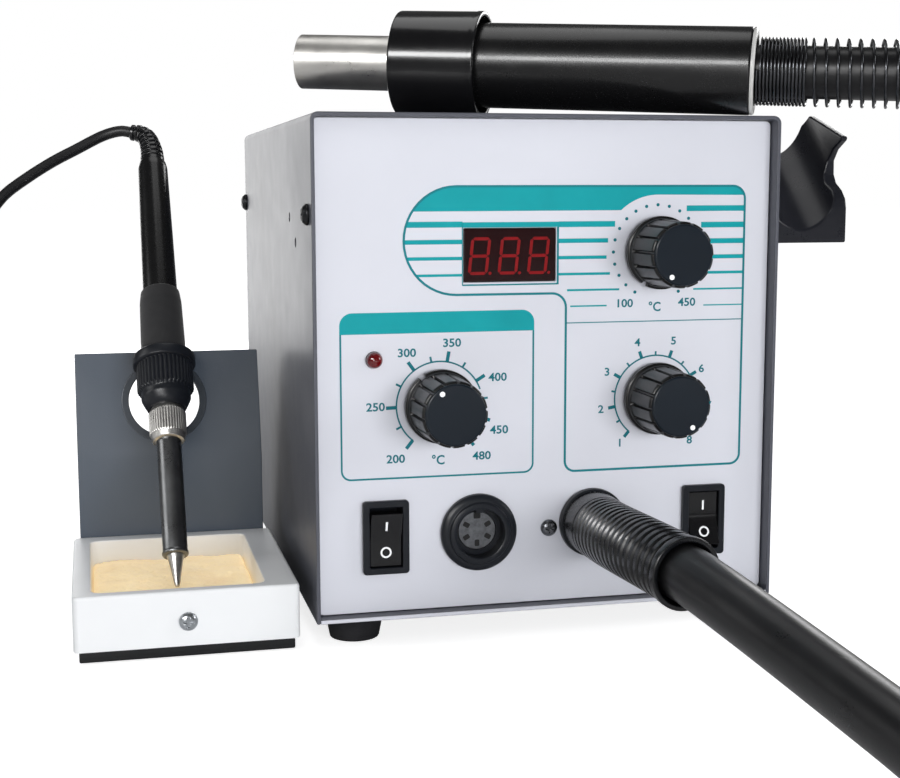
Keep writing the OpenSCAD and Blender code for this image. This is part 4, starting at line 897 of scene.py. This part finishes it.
def printScales():
    numbers = bmesh.new()
    for scale in scaleSet.values():
        x, z, radius = scale["x"], scale["z"], scale["radius"]
        start, end = scale["arc"]
        stripe(numbers, arc(x, z, radius, 90 - start, 90 - end, 60), scale["line"], inkSet["height"])
        for angles, (width, length) in ((scale["big"], scale["bigSize"]),
                                        (scale["small"], scale["smallSize"])):
            for angle in angles:
                addMarks(numbers, x, z, 1, angle, 0, radius + length / 2, width, length)
        for word, spot in scale["numbers"].items():
            writeWord(numbers, word, scale["size"], *spot)
    addMarks(numbers, *haloDots, dots=True)
    for word in dialWords:
        writeWord(numbers, *word)
    shapedPiece("printNumbers", numbers, "station", "panel_print", (), [inkNumber])


printPanel()
printScales()
print("panel printed")


# knobs: skirt with a notch, lobed body and a smooth cap with a dot

knobSet = dict(gap=1.5, height=24.5, skirt=14.1, body=12.8, lobes=14, groove=1.1, grooveWidth=6, cap=11.5,
               dot=1.0, notch=1.15, sides=336)
# place, pointer's angle, body and node
dialSet = dict(iron=(-43, 90.7, -33, "iron_temp_dial", "iron_temp_knob"),
               airTemp=(44.3, 147.6, -150, "air_temp_dial", "air_temp_knob"),
               airFlow=(44.3, 90.7, 150, "air_flow_dial", "air_flow_knob"))


def knobRing(radius, z, depth=0.0, notch=0.0):
    points = []
    for k in range(knobSet["sides"]):
        a = 360 * k / knobSet["sides"]
        r = radius
        if depth:
            pitch = 360 / knobSet["lobes"]
            off = pitch / 2 - abs(a % pitch - pitch / 2)  # degrees from the middle of a groove
            near = max(0.0, min(1.0, (knobSet["grooveWidth"] / 2 - off) / (knobSet["grooveWidth"] * 0.28)))
            r -= depth * near * near * (3 - 2 * near)
        if notch:
            swing = abs((a - 90 + 180) % 360 - 180)
            if math.radians(swing) * radius < notch:
                r = min(r, knobSet["body"] - 0.4)
        points.append((r * math.cos(math.radians(a)), r * math.sin(math.radians(a)), z))
    return points


def buildKnob(name, x, z, pointer, body, node):
    place = onPanel(x, z, caseSet["panelFace"] - knobSet["gap"]) @ turned("Z", -pointer)
    skirt, size, high, cap, groove = [knobSet[key] for key in ("skirt", "body", "height", "cap", "groove")]
    bm = bmesh.new()
    rings = [[(0, 0, 4.3)], knobRing(6.75, 4.3), knobRing(6.75, 0.3), knobRing(7.0, 0)]
    rings += [knobRing(r, level, notch=knobSet["notch"]) for r, level in (
        (skirt - 0.35, 0), (skirt, 0.35), (skirt, 2.3), (skirt - 0.3, 2.65), (13.4, 2.75), (13.25, 2.95),
        (13.2, 4.1), (13.05, 4.35))]
    rings += [knobRing(r, level, groove * part) for r, level, part in (
        (size + 0.1, 4.4, 0), (size + 0.05, 4.7, 1), (size - 0.35, high - 2.2, 1),
        (size - 0.5, high - 1.5, 0.95), (size - 0.9, high - 1.1, 0.7), (cap + 0.05, high - 1.0, 0))]
    loft(bm, rings, place)
    top = rounded([(cap, high - 1.2), (cap, high - 0.45, 0.35), (cap - 0.5, high, 0.3), (cap - 3, high),
                   (0, high)])
    lathe(bm, [(0, high - 1.2), *top], place, 96, 1)
    dot = [(0, high - 0.2), (knobSet["dot"], high - 0.2), (knobSet["dot"], high + 0.03), (0, high + 0.05)]
    lathe(bm, dot, place @ Matrix.Translation((0, (cap - 2.1) * mm, 0)), 24, 2)
    lathe(bm, rounded([(0, -8), (3, -8, 0.4), (3, 4.5), (0, 4.5)], steps=2), place, 32, 3)
    shapedPiece(name, bm, body, "knob_black", [node], [knobBlack, knobCap, whiteMark, potSteel], angle=38)


for dialName, dial in dialSet.items():
    buildKnob(dialName + "Knob", *dial)


# rocker switches

switchSet = dict(z=41, pivotY=8.2, width=12.1, height=21.3, face=3.4, fall=1.7, tilt=9, pin=(1.5, 7.05),
                 markHeight=5.3, markLow=-0.1, markTop=0.06)
# place, lean, body and nodes
rockerSet = dict(power=(-64.5, 1, "power_switch", "power_rocker", "power_switch_body"),
                 air=(64.5, -1, "air_switch", "air_rocker", "air_switch_body"))


def buildSwitch(name, x, lean, body, rockerNode, housingNode):
    s = switchSet
    easedPiece(name + "Housing", housingNode, 0.45, satinBlack, "black_gloss", 3)
    half, wide = s["height"] / 2, s["width"] / 2
    sag = [(-s["face"] - s["fall"] * abs(t) ** 1.25, half * t) for t in [1 - k / 6 for k in range(13)]]
    profile = [(*p, 0.5 if i in (0, 12) else 0) for i, p in enumerate(sag)]
    profile += [(0.4, -half + 0.9, 0.5), (3.2, -3, 0.5), (3.2, 3, 0.5), (0.4, half - 0.9, 0.5)]
    outline = rounded(profile, closed=True)
    base = placed(x, s["pivotY"], s["z"]) @ turned("X", s["tilt"] * lean)
    rings = []
    for side, inset in ((-wide, 0.4), (-wide + 0.1, 0.15), (-wide + 0.4, 0), (wide - 0.4, 0),
                        (wide - 0.1, 0.15), (wide, 0.4)):
        rings.append([(side, p.x * (1 - inset / 6), p.y * (1 - inset / 10.6)) for p in outline])
    bm = bmesh.new()
    loft(bm, rings, base)
    thick, reach = s["pin"]
    pin = rounded([(0, -reach), (thick, -reach, 0.2), (thick, reach, 0.2), (0, reach)], steps=2)
    lathe(bm, pin, base @ turned("Y", 90), 24)
    slope = math.degrees(math.atan(s["fall"] * 1.1 / half))
    depth = s["face"] + s["fall"] * (s["markHeight"] / half) ** 1.25
    low, top = s["markLow"], s["markTop"]
    for up in (1, -1):
        spot = base @ Matrix.Translation((0, -depth * mm, s["markHeight"] * up * mm))
        spot = spot @ turned("X", slope * up) @ turned("X", 90)
        if up == 1:
            slab(bm, [(-0.4, -1.9), (0.4, -1.9), (0.4, 1.9), (-0.4, 1.9)], low, top, spot, 1)
        else:
            lathe(bm, rounded([(1.45, low), (2.15, low), (2.15, top), (1.45, top)]), spot, 32, 1, closed=True)
    shapedPiece(name + "Rocker", bm, body, "black_gloss", [rockerNode], [glossBlack, whiteMark], angle=32)


for rockerName, rocker in rockerSet.items():
    buildSwitch(rockerName, *rocker)
print("knobs and switches done")


# display, indicator and the iron's socket

digitSet = dict(slant=0.11, tall=13, wide=6.6, bar=1.15, gap=0.16, middles=(-12, -0.4, 11.2), low=2.3,
                top=2.34, point=0.6)


def buildDisplay():
    d = displaySet
    place = onPanel(d["x"], d["z"], caseSet["panelFace"] + 2)
    bm = bmesh.new()
    sizes = [(0, 0), (1.95, 0), (2.2, 0.15), (2.3, 0.5)]
    loft(bm, [raised(roundRect(d["width"] - 2 * i, d["height"] - 2 * i, 0.7), z) for z, i in sizes], place)
    slab(bm, roundRect(d["width"] - 1.6, d["height"] - 1.6, 0.5), 2.28, 2.31, place)
    # slanted seven-bar digits with their points
    h, w, half, g = digitSet["tall"] / 2, digitSet["wide"] / 2, digitSet["bar"] / 2, digitSet["gap"]
    low, top, point = digitSet["low"], digitSet["top"], digitSet["point"]
    ends = [((-w, h), (w, h)), ((-w, 0), (w, 0)), ((-w, -h), (w, -h)), ((-w, 0), (-w, h)), ((w, 0), (w, h)),
            ((-w, -h), (-w, 0)), ((w, -h), (w, 0))]
    for middle in digitSet["middles"]:
        def lean(x, y):
            return middle + x + digitSet["slant"] * y, y - 0.3
        for (ax, ay), (bx, by) in ends:
            length = math.hypot(bx - ax, by - ay)
            ux, uy = (bx - ax) / length, (by - ay) / length
            shape = [(g, 0), (g + half, half), (length - g - half, half), (length - g, 0),
                     (length - g - half, -half), (g + half, -half)]
            slab(bm, [lean(ax + ux * p - uy * q, ay + uy * p + ux * q) for p, q in shape], low, top, place, 1)
        slab(bm, [lean(w + 1.5 + point * math.cos(math.tau * k / 14),
                       -h + point * math.sin(math.tau * k / 14))
                  for k in range(14)], low, top, place, 1)
    shapedPiece("displayWindow", bm, "station", "display_red", ["display_window"], [windowRed, segmentRed],
                angle=30)
    bm = bmesh.new()
    dome = [(0, -6), (2.5, -6), (2.5, 0.03), (3.1, 0.03), (3.1, 0.9)]
    steps = [math.radians(9 * k) for k in range(1, 10)]
    dome += [(3.1 * math.cos(a), 0.9 + 2.8 * math.sin(a)) for a in steps]
    lathe(bm, dome + [(0, 3.7)], onPanel(-68.3, 108.8), 40)
    shapedPiece("heaterLamp", bm, "station", "led_red", ["heater_led"], [lensRed], angle=40)


def buildSocket():
    place = onPanel(-28, 41)
    bm = bmesh.new()
    collar = [(0, -15), (12.5, -15), (12.5, -6.5), (15.2, -6.5), (15.2, -3.5), (12.5, -3.5), (12.5, 0),
              (15, 0, 0.2), (15, 2.1, 0.7), (13.5, 3.2, 0.5), (12.1, 3.35, 0.3), (11.9, 4.3, 0.4),
              (10.6, 4.6, 0.4), (9.5, 4.4, 0.5), (9.5, -2), (7.6, -2), (7.6, -7), (0, -7)]
    lathe(bm, rounded(collar, steps=4), place, 96)
    # keyway ridge at the top of the mouth
    slab(bm, [(-1.6, 7.9), (1.6, 7.9), (1.6, 9.7), (-1.6, 9.7)], -1.9, 3.0, place)
    shapedPiece("ironSocket", bm, "station", "black_plastic", ["iron_socket"], [satinBlack], angle=32)
    bm = bmesh.new()
    lathe(bm, rounded([(0, -7), (7.45, -7), (7.45, -1.9, 0.4), (0, -1.9)]), place)
    # the six contact slots, with the key notch at the top, are near-black patches just proud of the insert's
    # face: painted shade where the holes are
    for k in range(6):
        reach, long, wide = (6, 2.6, 2.8) if k == 1 else (4.9, 2.6, 1.9)
        spot = place @ turned("Z", 30 + 60 * k) @ Matrix.Translation((reach * mm, 0, 0))
        slab(bm, roundRect(long, wide, 0.5, 4), -2.4, -1.86, spot, 1)
    shapedPiece("socketInsert", bm, "station", "pot_steel", ["socket_insert"], [contactGray, blackAndSlotShade],
                angle=32)


buildDisplay()
buildSocket()
print("display and socket done")


# handpiece, from the end of the grip towards the nozzle

handSet = dict(tail=(80.3, 2, 216.93), tilt=2.4487, turn=28, grip=16.75, gripEnd=137.2, collar=21.3,
               collarFrom=106.4, collarTo=141.4, pipe=11, pipeTo=183.9, spring=60, wire=1.1,
               springRadius=12.45)
handPlace = placed(*handSet["tail"]) @ turned("Z", 180 - handSet["turn"]) @ turned("Y", 90 - handSet["tilt"])


def turnedPiece(name, profile, place, body, slot, nodes, materials, sides=80, closed=False):
    bm = bmesh.new()
    lathe(bm, profile, place, sides, 0, closed)
    return shapedPiece(name, bm, body, slot, nodes, materials)


def buildHandpiece():
    h = handSet
    start, end, size = h["collarFrom"], h["collarTo"], h["collar"]
    grip = rounded([(14.6, 0.3), (h["grip"], 0.3, 0.8), (h["grip"], h["gripEnd"], 0.4), (14.6, h["gripEnd"])],
                   steps=4, closed=True)
    collar = rounded([(11.7, end - 4), (11.7, end, 0.3), (size - 0.3, end, 0.9), (size - 0.2, start + 3),
                      (size, start + 2.4), (size, start, 0.6), (19.4, start, 0.5), (19.2, start + 9),
                      (16.8, start + 13), (16.8, end - 4)], steps=4, closed=True)
    pipe = rounded([(10.3, 108.4), (11.4, 108.4), (11.4, 112.4), (14.5, 112.4), (14.5, 113.9), (11.4, 113.9),
                    (11.4, end), (11, end), (11, h["pipeTo"], 0.25), (10, h["pipeTo"], 0.25), (10, 171.9),
                    (10.3, 171.9)], closed=True)
    for name, profile, slot, node, material, sides in (
            ("gripTube", grip, "black_plastic", "grip_tube", handleBlack, 96),
            ("handleCollar", collar, "black_plastic", "handle_collar", glossBlack, 96),
            ("nozzlePipe", pipe, "pipe_steel", "nozzle_pipe", pipeSteel, 80)):
        turnedPiece(name, profile, handPlace, "handpiece", slot, [node], [material], sides, True)
    ring = rounded([(13.7, -1.2, 0.2), (16.1, -1.2, 0.4), (16.6, -0.7, 0.3), (16.6, 0.2), (14.5, 0.2),
                    (14.5, 8), (13.7, 8)], closed=True)
    bm = bmesh.new()
    lathe(bm, ring, handPlace, 80, 0, True)
    lathe(bm, [(10.4, 3), (13.9, 3), (13.9, 8), (10.4, 8)], handPlace, 80, 1, True)
    shapedPiece("gripEndRing", bm, "handpiece", "black_plastic", ["tail_ring"], [ringGray, blackAndSlotShade])
    springPath = [handPlace @ Vector((0, 0, z * mm)) for z in (-1.9, -30, -h["spring"] + 0.7)]
    sizes = {"Radius": h["springRadius"], "Wire": h["wire"], "Closed Length": 18, "Closed Pitch": 1.36,
             "Open Pitch": 4.3, "Step": 0.05}
    values = {label: size * mm for label, size in sizes.items()}
    wire = runTree("tailSpring", springTree, {**values, "Material": springWire},
                   lineCurve("springLine", springPath))
    newPiece("tailSpring", wire, "handpiece", "spring_black", ["tail_spring"], soft=True)
    tube = tubeMesh("tailHose", [handPlace @ Vector((0, 0, z * mm)) for z in (6, -h["spring"])], 10,
                    hoseRubber, 40, 4)
    newPiece("tailHose", tube, "handpiece", "hose_rubber", ["tail_hose"], soft=True)


buildHandpiece()
print("handpiece done")


# iron stand with its sponge

standSet = dict(middle=-139.3, trayWidth=83.5, trayFront=5, trayBack=103, trayBottom=4, trayTop=25,
                recess=(-174.05, -110.05, 11, 95), recessFloor=7)
spongeSet = dict(top=16.3, cells=(72, 92), gap=1.6, edge=2.2, edgeDrop=1.7, pitFrom=0.18, pitDepth=1.9)
standParts = [("standPlate", "stand_plate", 0.4, standPaint, "stand_paint"),
              ("standRing", "stand_ring", 0.3, ringPaint, "pot_steel"),
              ("standBase", "stand_base", 0.6, mattBlack, "base_black"),
              ("standScrew", "stand_screws", 0.15, screwSteel, "screw_steel")]


def buildTray():
    s = standSet
    x0, x1, y0, y1 = s["recess"]
    wide, deep = s["trayWidth"], s["trayBack"] - s["trayFront"]
    middle = (s["middle"], (s["trayFront"] + s["trayBack"]) / 2)
    inner = ((x0 + x1) / 2 - middle[0], (y0 + y1) / 2 - middle[1])

    def outer(inset, z, radius=2.2):
        return raised(roundRect(wide - 2 * inset, deep - 2 * inset - 0.06, max(radius - inset, 0.4), 6), z)

    def hollow(inset, z):
        shape = roundRect(x1 - x0 - 2 * inset, y1 - y0 - 2 * inset, 4 - inset, 6)
        return [(x + inner[0], y + inner[1], z) for x, y in shape]

    bm = bmesh.new()
    bottom, top, floor = s["trayBottom"], s["trayTop"], s["recessFloor"]
    rings = [outer(0.3, bottom + 0.02), outer(0, bottom + 0.4), outer(0, top - 1.3), outer(0.15, top - 0.7),
             outer(0.5, top - 0.2), outer(1.1, top), hollow(-1.0, top), hollow(-0.35, top - 0.2),
             hollow(0, top - 0.8), hollow(0, floor + 1), hollow(0.8, floor)]
    loft(bm, rings, placed(*middle, 0))
    shapedPiece("spongeTray", bm, "station", "tray_white", ["sponge_tray"], [trayWhite], angle=40)


# a soft-edged block with an uneven, pitted top
def buildSponge():
    s = spongeSet
    x0, x1, y0, y1 = standSet["recess"]
    bm = bmesh.new()
    bmesh.ops.create_grid(bm, x_segments=s["cells"][0], y_segments=s["cells"][1], size=0.5)
    long, across = x1 - x0 - s["gap"], y1 - y0 - s["gap"]
    for v in bm.verts:
        u, w = v.co.x, v.co.y
        edge = min(0.5 - abs(u), 0.5 - abs(w)) * min(long, across)
        drop = max(0.0, 1 - edge / s["edge"]) ** 2 * s["edgeDrop"]
        bumps = noise.noise(Vector((u * 5, w * 7, 0.3))) * 1.1
        bumps += noise.noise(Vector((u * 34, w * 46, 4.1))) * 0.35
        pits = max(0.0, noise.noise(Vector((u * 60, w * 80, 9.0))) - s["pitFrom"]) * s["pitDepth"]
        v.co = Vector((u * long, w * across, s["top"] - drop + bumps - pits)) * mm
    made = bmesh.ops.extrude_edge_only(bm, edges=[e for e in bm.edges if e.is_boundary])["geom"]
    for v in [g for g in made if isinstance(g, bmesh.types.BMVert)]:
        v.co.z = (standSet["recessFloor"] + 0.05) * mm
    bmesh.ops.holes_fill(bm, edges=[e for e in bm.edges if e.is_boundary], sides=0)
    bm.transform(placed((x0 + x1) / 2, (y0 + y1) / 2, 0))
    shapedPiece("wetSponge", bm, "station", "sponge_yellow", ["sponge"], [spongeYellow], soft=True, angle=50)


def buildStand():
    for part in standParts:
        easedPiece(*part)
    buildTray()
    buildSponge()


buildStand()
print("stand done")


# soldering iron, from the tip upwards

ironSet = dict(tip=(-141.2, 41, 17.2), lean=36, barrel=5.1, nut=7.7, fluted=11.8, stop=13.1, sleeve=9.4,
               handle=7.4, flutes=40, end=(-141.2, 162.08, 183.86))
ironPlace = placed(*ironSet["tip"]) @ turned("X", -ironSet["lean"])


def flutedRing(radius, z, depth=0, sides=320):
    ring = []
    for k in range(sides):
        a = math.tau * k / sides
        wave = 0.5 + 0.5 * math.cos(a * ironSet["flutes"])
        r = radius - depth * (1 - wave) ** 2.2 if depth else radius
        ring.append((r * math.cos(a), r * math.sin(a), z))
    return ring


# rows of radius and height, with a depth where there are flutes
def flutedPiece(name, rows, slot, node, material):
    bm = bmesh.new()
    rings = [flutedRing(*row) for row in rows]
    loft(bm, [[(0, 0, rows[0][1])], *rings, [(0, 0, rows[-1][1])]], ironPlace)
    shapedPiece(name, bm, "soldering_iron", slot, [node], [material], angle=50)


def ironTurned(name, profile, slot, node, material, sides):
    turnedPiece(name, profile, ironPlace, "soldering_iron", slot, [node], [material], sides)


def buildIron():
    i = ironSet
    size, stop, barrel, sleeve, handle = i["fluted"], i["stop"], i["barrel"], i["sleeve"], i["handle"]
    tipShape = rounded([(0, 0), (0.8, 0.1, 0.3), (1.2, 1.2, 0.5), (2.9, 11), (3.6, 12.9, 0.4), (3.6, 19),
                        (0, 19)])
    barrelShape = rounded([(0, 18.9), (3.65, 18.9), (3.65, 13.2), (4.6, 13, 0.4), (5.3, 13.7, 0.4),
                           (5.3, 14.6, 0.3), (barrel - 0.15, 15, 0.2), (barrel, 64), (0, 64)])
    sleeveShape = rounded([(0, 104.8), (sleeve - 0.3, 104.8, 0.4), (sleeve, 107, 0.8),
                           (sleeve - 0.45, 131, 1), (handle + 0.9, 136.3, 0.8), (handle - 0.3, 137),
                           (0, 137)], steps=5)
    handleShape = rounded([(0, 137.02), (handle, 137.02), (handle - 0.3, 167), (handle - 0.8, 203, 0.8),
                           (handle - 1.4, 206, 0.5), (0, 206)], steps=4)
    ironTurned("ironTip", tipShape, "tip_plated", "iron_tip", tipPlate, 48)
    ironTurned("ironBarrel", barrelShape, "pipe_steel", "iron_barrel", barrelSteel, 56)
    flutedPiece("barrelNut", [(6.3, 64), (6.9, 64.6), (6.9, 66.2), (7.3, 66.8), (i["nut"], 67.3, 0.35),
                              (i["nut"], 76.6, 0.35), (7.2, 77.2), (6.6, 79)],
                "pipe_steel", "barrel_nut", pipeSteel)
    flutedPiece("ironCollar", [(7.6, 79.02), (8.1, 79.2), (9.2, 81.4), (10.2, 83.6), (10.3, 84.6),
                               (10.1, 86.2), (10.4, 87), (size, 88, 0.6), (size, 98.8, 0.6),
                               (size - 0.2, 99.4), (stop - 0.5, 99.6), (stop, 100.1), (stop, 103.4),
                               (stop - 0.4, 104.1), (stop - 1.3, 104.75)],
                "black_plastic", "iron_collar", satinBlack)
    ironTurned("ironSleeve", sleeveShape, "sleeve_foam", "iron_sleeve", sleeveFoam, 72)
    ironTurned("ironHandle", handleShape, "black_plastic", "iron_handle", handleBlack, 64)
    end, lean = Vector(i["end"]), math.radians(i["lean"])
    bends = [Vector((0, 0, 0)), 7 * Vector((0, math.sin(lean), math.cos(lean))), Vector((-1.5, 9, 11.5)),
             Vector((-4.5, 12, 14)), Vector((-9, 13.6, 14.8))]
    mesh = tubeMesh("cordRelief", pathThrough([at(*(end + bend)) for bend in bends], 10), 5.6, reliefRubber,
                    32, 0.16, endRadius=3.6, pitch=2.5, groove=0.8, cuff=2.2)
    newPiece("cordRelief", mesh, "soldering_iron", "black_plastic", ["iron_relief"], soft=True)
    easedPiece("ironPlug", "iron_plug", 0.35, satinBlack, "black_plastic")


buildIron()
print("iron done")
